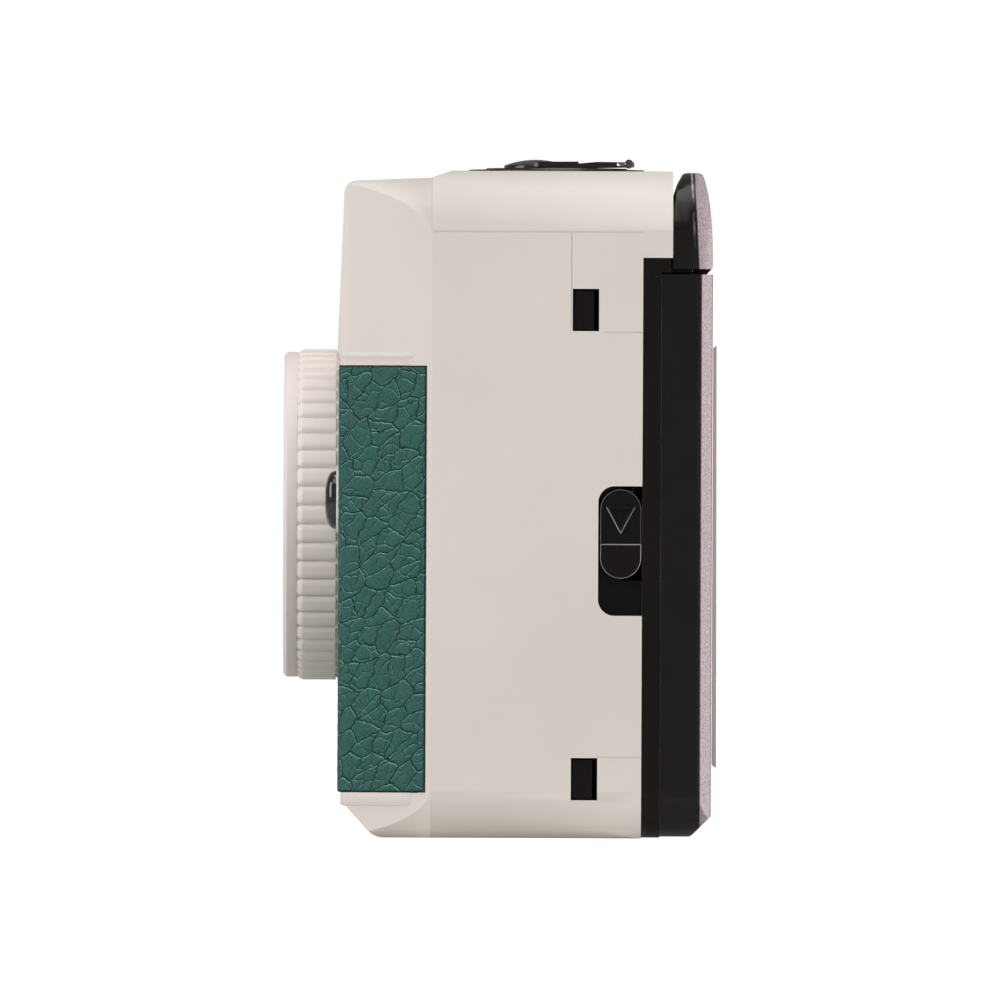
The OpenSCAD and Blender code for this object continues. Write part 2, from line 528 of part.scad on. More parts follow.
// Tapered light path between the shutter's mouth and the film gate, grown outward by i
module light_path(i, y0, y1) intersection() {
    along_z(lens_z - far, lens_z + far) polygon([
        [-mouth_w / 2 - i, y0], [mouth_w / 2 + i, y0], [gate_w / 2 + i, y1], [-gate_w / 2 - i, y1]]);
    along_x(-far, far) polygon([
        [y0, lens_z - mouth_h / 2 - i], [y1, lens_z - gate_h / 2 - i],
        [y1, lens_z + gate_h / 2 + i], [y0, lens_z + mouth_h / 2 + i]]);
}
module chassis() color([0.08, 0.08, 0.08]) {
    difference() {
        union() {
            rim_frame();
            along_y(door_y - 0.1, hump_y - slip) intersection() {
                body_2d(fit);
                translate([-far, door_top + slip]) square([2 * far, rim_top - door_top - slip]);
            }
            along_y(plate_y, rim_y + 0.05) round_poly([
                [wall + fit - half_w, wall + fit], [half_w - wall - fit, wall + fit],
                [half_w - wall - fit, rim_top], [wall + fit - half_w, rim_top]],
                [base_r - wall, base_r - wall, 0, 0]);
            along_y(web_y0, web_y1) round_rect(-30, 30, 4, cassette_z1 - 0.4, 2);
            intersection() {
                union() {
                    rod_z(cassette_x, cassette_y, cassette_dia / 2 + trough_t,
                        cassette_z0 - trough_t, rim_top);
                    rod_z(-spool_x, spool_y, take_up_dia / 2 + trough_t, take_up_z0 - trough_t,
                        take_up_z1 + trough_t);
                }
                along_y(-far, rim_y) body_2d(wall + fit);
            }
            light_path(1.2, web_y0, rim_y);
            rod_z(battery_x, battery_y, battery_dia / 2 + tube_wall, wall + fit, tube_z1 + 1);
            box(battery_x - 6, battery_x + 6, battery_y + 4, rim_y - 0.5, wall + fit, 9);
            for (x = [-screw_x, screw_x]) {
                rod_z(x, screw_y, boss_r, wall + fit, 12);
                box(x - 0.6, x + 0.6, screw_y + 1, rim_y - 0.5, wall + fit, 12);
            }
            box(-spool_x - 8, -spool_x + 8, spool_y, rim_y - 0.5, wall + fit, take_up_z0);
            for (z = [film_z0 - 1.2, film_z1]) box(-13, 24, plate_y, rail_y + 0.5, z, z + 1.2);
            sprocket_bearings();
            finder_saddle();
            latch_bed();
            box(ledge_x - 1.2, ledge_x + 1.2, stem_y - 0.8, web_y1, ledge_z - 1, ledge_z);
            box(-spool_x + 8.4, pawl_x + 1.6, pawl_y - 1.6, spool_y - 5, take_up_z1 + 0.1, take_up_z1 + 1.1);
            snap_hooks();
            for (z = hinge_ear_z) rod_z(-hinge_x, hinge_y, hinge_r, z[0], z[1]);
            for (z = hinge_ear_z) box(-hinge_x - 1.5, -hinge_x + 0.4, rim_y + 0.5, hinge_y, z[0], z[1]);
        }
        cassette_space();
        rod_z(-spool_x, spool_y, take_up_dia / 2, take_up_z0, take_up_z1);
        box(-spool_x - take_up_dia / 2, -spool_x + take_up_dia / 2, spool_y, door_y + 1,
            take_up_z0, take_up_z1);
        light_path(0, web_y0 - 0.5, rail_y + 0.6);
        rod_z(battery_x, battery_y, battery_dia / 2, -1, tube_z1);
        rod_z(-sprocket_x, sprocket_y, sprocket_dia / 2 + 1.7, film_z0 - 0.6, film_z1 + 0.6);
        box(-sprocket_x - 7.6, -sprocket_x + 5.5, sprocket_y, door_y + 1, film_z0 - 0.6, film_z1 + 0.6);
        rod_z(-sprocket_x, sprocket_y, shaft_r + run_fit, -1, rim_top + 1);
        rod_z(-sprocket_x, sprocket_y, release_r + slip, -1, film_z0 - 3.4);
        rod_z(-spool_x, spool_y, spool_pin_r + run_fit, take_up_z0 - 5, rim_top + 1);
        rod_z(cassette_x, knob_y, sleeve_r + slip, cassette_z1 - 1, rim_top + 1);
        along_y(seam_y - 1, web_y1 + 1) round_rect(cap_x - cap_radius - slip, cap_x + cap_radius + slip,
            cap_z0 - slip, cap_z0 + cap_l + slip, 1);
        finder_prism(finder_t + fit, plate_y - 6, hump_y + 1);
        for (x = [-screw_x, screw_x]) rod_z(x, screw_y, screw_r, -1, 9);
        for (b = cover_boss) rod_y(b[0], b[1], screw_r + 0.05, seam_y - 1, web_y1 + 1);
        rod_z(-hinge_x, hinge_y, hinge_pin_r, -1, rim_top + 1);
        latch_cuts();
        strap_relief();
    }
    rod_y(lever_x, lever_z, lever_pin_r, lever_y0 - 0.3, web_y1);
    rod_z(pawl_x, pawl_y, pawl_pin_r, take_up_z1 + 0.5, thumb_z0 + 1.9);
}
module rim_frame() difference() {
    along_y(rim_y, door_y) intersection() {
        body_2d(fit, deck_h);
        translate([-far, -1]) square([2 * far, rim_top + 1]);
    }
    along_y(rim_y - 1, door_y + 1) round_rect(rim_w - half_w, half_w - rim_w, 1.9, door_top - 1.4, 2);
    box(-far, far, rim_y + 1.2, door_y + 1, door_top - 0.9, door_top - 0.2);
}
module cassette_space() {
    rod_z(cassette_x, cassette_y, cassette_dia / 2, cassette_z0, cassette_z1);
    box(cassette_x - cassette_dia / 2, cassette_x + cassette_dia / 2 - 0.8, cassette_y, door_y + 1,
        cassette_z0, cassette_z1);
}
shaft_r = 1.5;
spool_pin_r = 1.6;
release_r = 1.9;
module sprocket_bearings() {
    for (z = [film_z0 - 2.6, film_z1 + 0.6]) along_z(z, z + 2)
        polygon([[-sprocket_x - 4, plate_y], [-10, plate_y], [-9, 0], [-sprocket_x - 3, 2]]);
}
finder_t = 0.6;
// Notch under the finder, with two cheeks that hold it
module finder_saddle() box(-finder_w / 2 - finder_t - 1.2, finder_w / 2 + finder_t + 1.2, plate_y - 5, rim_y,
    lens_z + gate_h / 2 + 5, rim_top);
module latch_bed() box(half_w - wall - 0.8, half_w - wall - 0.1, latch_y - 2.4, rim_y + 0.1,
    pocket_z0 - 0.6, pocket_z1 + 0.6);
module snap_hooks() both_sides() for (z = window_z) difference() {
    box(half_w - wall - 5, half_w - 0.5, window_y0 + slip, window_y0 + window_w - 0.5,
        z + slip, z + window_h - slip);
    // Sloping face that lets the housing ride over the hook
    translate([half_w - 1.4, window_y0, z]) rotate([0, 0, -35])
        translate([0, -2, -1]) cube([4, 2, window_h + 2]);
}
hook_x0 = half_w - 3;
hook_x1 = half_w - 1.5;
hook_z0 = latch_z - 4.8;
hook_h = 2.4;
spring_top = hook_z0 + 6.9;
module latch_cuts() box(hook_x0 - 0.9, hook_x1 + 0.2, latch_y + 0.2, door_y + 1,
    hook_z0 - latch_travel - 0.3, spring_top);
module strap_relief() box(-half_w, -half_w + bar_in + 1.1, bar_y - bar_w / 2 - 1.1, bar_y + bar_w / 2 + 1.1,
    bar_z - bar_h / 2 - 1.1, bar_z + bar_h / 2 + 1.1);

// ---- Finder and upper back panel ----
panel_top = deck_h - 0.1;
panel_back = back_y - 0.55;
module finder_tunnel() color([0.1, 0.1, 0.1]) {
    y0 = face_y + wall + 0.25;
    y1 = panel_back - 2.5;
    difference() {
        finder_prism(finder_t, y0, y1);
        finder_prism(0, y0 - 0.1, y1 + 0.1);
    }
}
module finder_prism(i, y0, y1) intersection() {
    along_z(finder_z - far, finder_z + far) polygon([[-finder_w / 2 - i, y0], [finder_w / 2 + i, y0],
        [eye_w / 2 + i, y1], [-eye_w / 2 - i, y1]]);
    along_x(-far, far) polygon([[y0, finder_z - finder_h / 2 - i], [y1, eye_z - eye_h / 2 - i],
        [y1, eye_z + eye_h / 2 + i], [y0, finder_z + finder_h / 2 + i]]);
}
module panel_form(i) intersection() {
    along_y(hump_y - 1, back_y + 1) body_2d(0.3 + i, panel_top);
    along_x(-far, far) soft_poly([[hump_y - (i > 0 ? 1 : 0), panel_z0 + i], [panel_back - i, panel_z0 + i],
        [panel_back - 0.25 - i, deck_h - 3.5], [panel_back - 0.9 - i, panel_top - i],
        [hump_y + (i > 0 ? -1 : 0.7), panel_top - i], [hump_y - (i > 0 ? 1 : 0), deck_h - 4]],
        [0, 0.2, 0, 0.8, 0, 0]);
}
slot_z = [panel_z0 + 1, panel_z0 + 5.1];
module upper_back_panel() color([0.1, 0.09, 0.09]) difference() {
    panel_form(0);
    panel_form(1.5);
    along_y(hump_y, back_y + 1) round_rect(-eye_w / 2, eye_w / 2, eye_z - eye_h / 2, eye_z + eye_h / 2, 0.5);
    along_y(panel_back - 1, back_y + 1) round_rect(-eye_w / 2 - 0.6, eye_w / 2 + 0.6,
        eye_z - eye_h / 2 - 0.6, eye_z + eye_h / 2 + 0.6, 0.6);
    box(-spool_x - 8.6, -spool_x + 8.6, hump_y - 1, back_y + 1, slot_z[0], slot_z[1]);
}
module eyepiece_lens() color([0.7, 0.8, 0.85, 0.5]) along_y(panel_back - 0.95, panel_back - 0.35)
    round_rect(-eye_w / 2 - 0.55, eye_w / 2 + 0.55, eye_z - eye_h / 2 - 0.55, eye_z + eye_h / 2 + 0.55, 0.55);

// ---- Back door ----
hinge_r = 2.1;
hinge_pin_r = 0.8;
hinge_x = half_w - hinge_r - 0.3;
hinge_y = door_y + hinge_r + 0.15;
hinge_ear_z = [[0.9, 7], [door_top - 7, door_top - 0.9]];
door_wall = 1.5;
rib_t = 1.2;
foot = 2.6;
grip_z = [6.8, 44.7];
grip_d = 0.5;
grip_w = 13;
module door_side_2d(i) soft_poly([[door_y - (i > 0 ? 1 : 0), i], [back_y - foot, i], [back_y - i, foot],
    [back_y - i - 0.15, door_top - i], [door_y - (i > 0 ? 1 : 0), door_top - i]],
    [0, 1.6, 1.6, i > 0 ? 0 : 0.5, 0]);
slab_x = -hinge_x + 0.7;
module door_plan_2d(i) soft_poly([[slab_x + i, door_y - 1], [half_w - 0.25 - i, door_y - 1],
    [half_w - 0.25 - i, back_y - 1.7 - i * 0.2], [half_w - 1.9 - i, back_y + 0.01 - i],
    [slab_x + i, back_y + 0.01 - i]],
    [0, 0, 0.8, 1.2, 0.9]);
module door_form(i) intersection() {
    along_y(door_y - 2, back_y + 1) body_2d(0.2 + i, deck_h + 20);
    along_x(-far, far) door_side_2d(i);
    along_z(-1, deck_h) door_plan_2d(i);
}
catch_z = hook_z0 + 3.4;
module back_door() color([0.1, 0.09, 0.09]) {
    difference() {
        union() {
            difference() {
                door_form(0);
                door_form(door_wall);
            }
            rod_z(-hinge_x, hinge_y, hinge_r, hinge_ear_z[0][1] + 0.2, hinge_ear_z[1][0] - 0.2);
            // Walls round the pressure plate, and a stiffening rib at each end
            difference() {
                along_y(door_y + 0.6, back_y - 1) press_2d(0.6 + rib_t);
                along_y(door_y, back_y) press_2d(0.6);
            }
            both_sides() box(half_w - 9, half_w - 9 + rib_t, door_y + 3, back_y - 1, 2, door_top - 2);
        }
        // Swing clearance round the fixed ears of the hinge
        rod_z(-hinge_x, hinge_y, hinge_r + slip, -1, hinge_ear_z[0][1] + 0.2);
        rod_z(-hinge_x, hinge_y, hinge_r + slip, hinge_ear_z[1][0] - 0.2, deck_h);
        rod_z(-hinge_x, hinge_y, hinge_pin_r + run_fit, -1, deck_h);
        // Shallow grip for the thumb along the edge that opens
        along_x(half_w - grip_w, half_w + 1) polygon([
            [back_y + 1, grip_z[0] - 1.2], [back_y - grip_d, grip_z[0]],
            [back_y - grip_d, grip_z[1]], [back_y + 1, grip_z[1] + 1.2]]);
    }
    door_catch();
}
// Hooked tab that the latch holds
module door_catch() {
    box(hook_x0 + 0.1, hook_x1 - 0.1, door_y - 1.4, door_y + 3, catch_z, catch_z + 3);
}
module hinge_pin() color([0.75, 0.75, 0.77])
    rod_z(-hinge_x, hinge_y, hinge_pin_r, hinge_ear_z[0][0], hinge_ear_z[1][1]);
press_y = film_y + 0.25;
press_t = 0.7;
press_w = gate_w + 5.2;
press_h = film_w - 0.2;
module press_2d(i) round_rect(-press_w / 2 - i, press_w / 2 + i,
    lens_z - press_h / 2 - i, lens_z + press_h / 2 + i, 1 + i);
module pressure_plate() color([0.2, 0.2, 0.2]) difference() {
    along_y(press_y, press_y + press_t) press_2d(0);
    for (s = [-1, 1]) rod_y(0, lens_z + s * (press_h / 2 - 5), 1, press_y - 1, press_y + press_t + 1);
}
// Bowed leaf spring between the door and the pressure plate
module pressure_spring() color([0.7, 0.7, 0.72]) {
    crown = press_y + press_t + 0.35;
    sag = back_y - door_wall - crown - 0.35;
    span = 11;
    r = (span * span + sag * sag) / (2 * sag);
    intersection() {
        along_x(-2.5, 2.5) difference() {
            translate([crown + r, lens_z]) circle(r, $fn = 180);
            translate([crown + r, lens_z]) circle(r - 0.25, $fn = 180);
        }
        box(-3, 3, press_y, crown + sag, lens_z - span, lens_z + span);
    }
}
// Foam strip in the groove under the top of the rim
module light_seal() color([0.05, 0.05, 0.05])
    box(-half_w + 9, half_w - 4, rim_y + 1.25, door_y - 0.05, door_top - 0.85, door_top - 0.25);

// ---- Latch ----
module latch_slider() color([0.1, 0.1, 0.1]) {
    x0 = half_w - wall;
    difference() {
        along_x(x0, half_w - 0.05) pill_2d();
        // The upper half is scooped lower
        along_x(half_w - 0.6, half_w + 1) round_rect(latch_y - latch_w, latch_y + latch_w,
            latch_z - 5, latch_z + 1, 0);
    }
    along_x(half_w - 0.65, half_w - 0.35) difference() {
        polygon([[latch_y - 1.3, latch_z - 1.6], [latch_y + 1.3, latch_z - 1.6], [latch_y, latch_z - 4]]);
        polygon([[latch_y - 0.9, latch_z - 1.8], [latch_y + 0.9, latch_z - 1.8], [latch_y, latch_z - 3.5]]);
    }
    box(hook_x0, x0 + 0.2, latch_y + 0.4, rim_y - 0.1, hook_z0, hook_z0 + hook_h);
    box(hook_x0, hook_x1, rim_y - 0.3, door_y - 0.3, hook_z0, hook_z0 + 3.1);
}
module pill_2d() {
    for (z = [latch_z - latch_w / 2, latch_z - latch_l + latch_w / 2])
        translate([latch_y, z]) circle(latch_w / 2);
    translate([latch_y - latch_w / 2, latch_z - latch_l + latch_w / 2]) square([latch_w, latch_l - latch_w]);
}
// Spring above the hook that draws the slider up
module latch_spring() color([0.7, 0.7, 0.72])
    translate([hook_x0 + 0.5, latch_y + 1.1, hook_z0 + hook_h + 0.02])
        coil(0.3, 0.08, spring_top - hook_z0 - hook_h - 0.04, 8);

// ---- Rewind ----
hub_y = knob_y - 1.9;
hub_r = 2.9;
hub_h = 0.8;
disc_top = deck_h + 0.32;
plate_r = 6.4;
arm_z = disc_top + 0.32;
flange_t = 0.5;
stem_r = 2;
fork_r = 1.2;
fork_top = cup_z - cup_t + 0.4;
sleeve_z0 = cup_z - cup_t - knob_lift - flange_t - 0.1;
module rewind_sleeve() color([0.12, 0.12, 0.12]) difference() {
    union() {
        rod_z(cassette_x, knob_y, sleeve_r, sleeve_z0, cup_z - 0.05);
        rod_z(cassette_x, knob_y, sleeve_r + 0.9, sleeve_z0, sleeve_z0 + flange_t);
    }
    rod_z(cassette_x, knob_y, stem_r + run_fit, -1, deck_h);
}
module rewind_knob() color([0.07, 0.07, 0.07]) difference() {
    union() {
        // The disc, with a flat plate on it that the lever folds onto
        translate([cassette_x, knob_y, 0]) rotate_extrude() polygon([
            [0, cup_z + 0.1], [knob_dia / 2 - 0.5, cup_z + 0.1], [knob_dia / 2, cup_z + 0.6],
            [knob_dia / 2, disc_top - 0.25], [knob_dia / 2 - 0.15, disc_top - 0.13],
            [plate_r + 0.1, disc_top - 0.13], [plate_r, disc_top], [0, disc_top]]);
        rod_z(cassette_x, knob_y, stem_r, cup_z - cup_t - 4, cup_z + 0.2);
        intersection() {
            rod_z(cassette_x, hub_y, hub_r, disc_top - 0.1, disc_top + hub_h);
            translate([cassette_x, hub_y, disc_top + hub_h - cap_r(hub_r, 0.55)]) sphere(cap_r(hub_r, 0.55));
        }
    }
    rod_x(hub_y, arm_z, crank_pin_r, cassette_x - hub_r - 2, cassette_x + hub_r + 2);
    rod_z(cassette_x, knob_y, fork_r, -1, fork_top);
}
crank_pin_r = 0.22;
crank_l = 9;
arm_x = hub_r + 0.1;
arm_w = 0.9;
module crank_lever() color([0.07, 0.07, 0.07]) {
    translate([cassette_x, 0, 0]) difference() {
        union() {
            both_sides() along_x(arm_x, arm_x + arm_w) union() {
                translate([hub_y, arm_z]) circle(0.3);
                polygon([[hub_y, arm_z - 0.26], [hub_y + hub_r + 1, arm_z - 0.28],
                    [hub_y + hub_r + 1, arm_z + 0.3], [hub_y, arm_z + 0.28]]);
            }
            along_x(-arm_x - arm_w, arm_x + arm_w) polygon([
                [hub_y + hub_r + 0.2, arm_z - 0.28], [hub_y + crank_l, arm_z - 0.18],
                [hub_y + crank_l, arm_z + 0.25], [hub_y + 5.6, arm_z + 0.28],
                [hub_y + hub_r + 0.2, arm_z + 0.05]]);
            // Rolled end that a fingertip lifts
            rod_x(hub_y + crank_l - 0.5, arm_z + 0.12, 0.4, -arm_x - arm_w, arm_x + arm_w);
        }
        both_sides() rod_x(hub_y, arm_z, crank_pin_r + 0.02, 0, arm_x + arm_w + 1);
        along_z(disc_top, deck_h + 3) difference() {
            translate([-far, hub_y + hub_r + 1]) square([2 * far, far]);
            translate([0, hub_y + crank_l - 5.6]) circle(5.6);
        }
    }
}
module crank_pin() color([0.75, 0.75, 0.77])
    rod_x(hub_y, arm_z, crank_pin_r, cassette_x - arm_x - arm_w + 0.1, cassette_x + arm_x + arm_w - 0.1);
module rewind_fork() color([0.12, 0.12, 0.12]) {
    rod_z(cassette_x, knob_y, fork_r, cassette_z1 - 1, fork_top);
    difference() {
        rod_z(cassette_x, knob_y, 2.9, cassette_z1 - 5, cassette_z1 - 0.8);
        box(cassette_x - 1, cassette_x + 1, knob_y - 4, knob_y + 4, cassette_z1 - 6, cassette_z1 - 2.4);
    }
}

// ---- Film transport ----
thumb_z0 = slot_z[0] + slip + 0.1;
thumb_t = 3.4;
thumb_ribs = 40;
tooth_d = 0.5;
module thumb_wheel() color([0.1, 0.1, 0.1]) translate([-spool_x, spool_y, 0]) difference() {
    along_z(thumb_z0, thumb_z0 + thumb_t) polygon([
        for (i = [0:thumb_ribs - 1], k = [[0, 0], [0.5, 0], [0.62, 1], [0.88, 1]])
            let (a = 360 * (i + k[0]) / thumb_ribs, q = thumb_dia / 2 - k[1] * tooth_d) [q * cos(a), q * sin(a)]]);
    rod_z(0, 0, thumb_dia / 2 - 2.8, thumb_z0 + 1.4, thumb_z0 + thumb_t + 1);
    box(-spool_key, spool_key, -spool_key, spool_key, 0, deck_h);
}
spool_key = 1.05;
key_in = spool_key - 0.03;
module take_up_spool() color([0.15, 0.15, 0.15]) translate([-spool_x, spool_y, 0]) {
    z0 = take_up_z0 + 0.3;
    z1 = take_up_z1 - 0.3;
    difference() {
        union() {
            rod_z(0, 0, spool_dia / 2, z0, z1);
            for (z = [z0, z1 - 0.8]) rod_z(0, 0, spool_dia / 2 + 1.2, z, z + 0.8);
            rod_z(0, 0, spool_pin_r, z1 - 0.1, slot_z[0]);
            rod_z(0, 0, spool_pin_r, z0 - 2, z0 + 0.1);
            for (a = [0:60:300]) rotate(a) box(spool_dia / 2 - 0.2, spool_dia / 2 + 0.5, -0.3, 0.3, z0, z1);
        }
        for (a = [30, 210]) rotate(a) box(1.5, spool_dia, -0.5, 0.5, film_z0, film_z1);
    }
    box(-key_in, key_in, -key_in, key_in, slot_z[0] - 0.1, thumb_z0 + 1.3);
}
pawl_x = -26.6;
pawl_y = -1.6;
pawl_pin_r = 0.75;
module anti_return_pawl() color([0.7, 0.7, 0.72]) {
    along_z(thumb_z0 + 0.4, thumb_z0 + 1.6) difference() {
        union() {
            translate([pawl_x, pawl_y]) circle(1.5);
            polygon([[pawl_x - 1.2, pawl_y - 0.8], [pawl_x + 1.2, pawl_y + 0.8],
                [pawl_x - 3.2, pawl_y + 3.8]]);
        }
        translate([pawl_x, pawl_y]) circle(pawl_pin_r + run_fit);
    }
}
teeth = 8;
module sprocket() color([0.15, 0.15, 0.15]) translate([-sprocket_x, sprocket_y, 0]) difference() {
    union() {
        for (z = [film_z0 + 1.2, film_z1 - 2.8]) {
            rod_z(0, 0, sprocket_dia / 2 - 0.05, z, z + 1.6);
            for (i = [0:teeth - 1]) rotate(360 * (i + 0.5) / teeth) along_z(z + 0.3, z + 1.3)
                polygon([[sprocket_dia / 2 - 0.4, -0.85], [sprocket_dia / 2 + 0.9, -0.4],
                    [sprocket_dia / 2 + 0.9, 0.4], [sprocket_dia / 2 - 0.4, 0.85]]);
        }
        rod_z(0, 0, sprocket_dia / 2 - 1.6, film_z0 + 1.2, film_z1 - 1.2);
        rod_z(0, 0, shaft_r, film_z0 - 2.55, dial_z0 - 0.2);
    }
    box(-0.5, 0.5, -0.5, 0.5, dial_z0 - 3, dial_z0);
}
dial_z0 = deck_h - wall - 1.6;
dial_t = 1;
dial_teeth = 80;
module counter_dial() color([0.9, 0.9, 0.88]) translate([-sprocket_x, sprocket_y, 0]) {
    difference() {
        along_z(dial_z0, dial_z0 + dial_t) polygon([for (i = [0:dial_teeth - 1], k = [0, 1])
            let (a = 360 * (i + k / 2) / dial_teeth, q = dial_r - 0.3 * k) [q * cos(a), q * sin(a)]]);
        rod_z(0, 0, 1.2, dial_z0 - 1, dial_z0 + dial_t + 1);
    }
}
module counter_window() color([0.7, 0.8, 0.85, 0.5]) union() {
    rod_z(-sprocket_x, window_y, 2.55, deck_h - 0.78, deck_h - 0.1);
    rod_z(-sprocket_x, window_y, 1.95, deck_h - wall, deck_h - 0.7);
}
module rewind_button() color([0.1, 0.1, 0.1]) translate([-sprocket_x, sprocket_y, 0]) {
    rod_z(0, 0, release_r, 0.25, wall + 0.6);
    rod_z(0, 0, release_r - 0.9, wall, film_z0 - 5.2);
}
module rewind_button_spring() color([0.7, 0.7, 0.72])
    translate([-sprocket_x, sprocket_y, wall + 0.65]) coil(1.4, 0.15, film_z0 - 2.7 - wall - 0.65, 6);

// ---- Battery ----
hinge_lug = 0.8;
door_hinge_y = battery_y + battery_door_w / 2 + 0.6;
door_hinge_z = 0.75;
hatch_pin_r = 0.35;
module battery_door() color([0.85, 0.81, 0.76]) difference() {
    union() {
        box(battery_x - battery_door_w / 2, battery_x + battery_door_w / 2, battery_y - battery_door_w / 2,
            door_hinge_y, 0, wall - 0.1);
        rod_x(door_hinge_y, door_hinge_z, door_hinge_z,
            battery_x - battery_door_w / 2, battery_x + battery_door_w / 2);
        rod_z(battery_x, battery_y, battery_dia / 2 - 0.6, wall - 0.2, wall + 0.5);
    }
    rod_x(door_hinge_y, door_hinge_z, hatch_pin_r + run_fit, battery_x - far, battery_x + far);
    // Grooves for the thumbnail
    for (i = [0:3]) box(battery_x - 3, battery_x + 3,
        battery_y - 4.4 + i * 0.9, battery_y - 4 + i * 0.9, -1, 0.3);
}
module battery_door_pin() color([0.75, 0.75, 0.77])
    rod_x(door_hinge_y, door_hinge_z, hatch_pin_r,
        battery_x - battery_door_w / 2 - door_gap, battery_x + battery_door_w / 2 + door_gap);
module door_contact() color([0.75, 0.7, 0.5]) rod_z(battery_x, battery_y, 3.2, wall + 0.5, wall + 0.75);
module battery_spring() color([0.75, 0.7, 0.5])
    translate([battery_x, battery_y, tube_z1 - 2.9]) coil(1.6, 0.25, 2.9, 4, 3.4);

// ---- Flash ----
reflector_y = [face_y + wall + 0.3, face_y + wall + 3.6];
tube_r = 1.1;
tube_y = reflector_y[1] - 1.8;
module flash_reflector() color([0.8, 0.8, 0.82]) {
    difference() {
        reflector_prism(0.4, reflector_y[0], reflector_y[1]);
        reflector_prism(0, reflector_y[0] - 0.1, reflector_y[1] - 0.4);
        rod_x(tube_y, flash_z, tube_r + slip, 0, far);
    }
}
module reflector_prism(i, y0, y1) intersection() {
    box(flash_x - flash_w / 2 + 0.2 - i, flash_x + flash_w / 2 - 0.2 + i, y0, y1, 0, deck_h);
    along_x(0, far) polygon([
        [y0, flash_z - flash_h / 2 + 0.3 - i], [y1 - 1, flash_z - 2 - i], [y1, flash_z - 1.2 - i],
        [y1, flash_z + 1.2 + i], [y1 - 1, flash_z + 2 + i], [y0, flash_z + flash_h / 2 - 0.3 + i]]);
}
module flash_tube() color([0.9, 0.92, 0.95, 0.6])
    rod_x(tube_y, flash_z, tube_r, flash_x - flash_w / 2 - 1, flash_x + flash_w / 2 + 0.6);
cap_x = -20;
cap_y = -7;
cap_radius = 4.5;
cap_z0 = 10;
cap_l = 27;
module flash_capacitor() color([0.12, 0.13, 0.2]) translate([cap_x, cap_y, 0]) rotate_extrude()
    polygon([[0, cap_z0], [cap_radius - 0.5, cap_z0], [cap_radius, cap_z0 + 0.5], [cap_radius, cap_z0 + 2],
        [cap_radius - 0.3, cap_z0 + 2.4], [cap_radius, cap_z0 + 2.8], [cap_radius, cap_z0 + cap_l - 0.5],
        [cap_radius - 0.5, cap_z0 + cap_l], [0, cap_z0 + cap_l]]);
board_y = face_y + wall + 2;
board_t = 1.2;
board_x0 = 5 - half_w;
board_x1 = cap_x - cap_radius - 3.5;
board_z0 = 8;
board_z1 = board_z0 + 34;
// The board with its transformer, three resistors and trigger coil
module circuit_board() color([0.15, 0.4, 0.2]) {
    solder_y = board_y + board_t - 0.1;
    along_y(board_y, board_y + board_t) round_rect(board_x0, board_x1, board_z0, board_z1, 0.5);
    box(board_x0 + 4, board_x0 + 12, solder_y, solder_y + 2.3, board_z0 + 4, board_z0 + 12);
    for (k = [0:2]) rod_x(solder_y + 0.8, board_z0 + 16 + 4 * k, 0.9, board_x0 + 6, board_x0 + 12);
    rod_y(board_x1 - 5, board_z0 + 8, 2, solder_y, solder_y + 2.1);
}

// ---- Fasteners ----
module screw_head_cut() box(-1.3, 1.3, -0.2, 0.2, -1, 0.4);
module case_screws() color([0.6, 0.6, 0.62]) {
    for (x = [-screw_x, screw_x]) translate([x, screw_y, 0]) difference() {
        union() {
            rod_z(0, 0, head_r, 0.15, 0.88);
            rod_z(0, 0, screw_r - 0.02, 0.8, 7.6);
        }
        screw_head_cut();
        rotate(90) screw_head_cut();
    }
    for (b = cover_boss) translate([b[0], 0, b[1]]) {
        rod_y(0, 0, head_r - 0.2, web_y1 + 0.02, web_y1 + 0.9);
        rod_y(0, 0, screw_r - 0.12, web_y1 - 6, web_y1 + 0.1);
    }
}

front_cover();
body_shell();
leatherette();
finder_window();
flash_window();
ready_lamp();
flash_ring();
lens_bezel();
lens_barrel();
front_lens();
rear_lens();
shutter_plate();
shutter_blade();
blade_spring();
release_lever();
shutter_button();
button_spring();
chassis();
finder_tunnel();
upper_back_panel();
eyepiece_lens();
back_door();
hinge_pin();
pressure_plate();
pressure_spring();
light_seal();
latch_slider();
latch_spring();
rewind_sleeve();
rewind_knob();
crank_lever();
crank_pin();
rewind_fork();
thumb_wheel();
take_up_spool();
anti_return_pawl();
sprocket();
counter_dial();
counter_window();
rewind_button();
rewind_button_spring();
battery_door();
battery_door_pin();
door_contact();
battery_spring();
flash_reflector();
flash_tube();
flash_capacitor();
circuit_board();
case_screws();
strap_bar();
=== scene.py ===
import json
import math

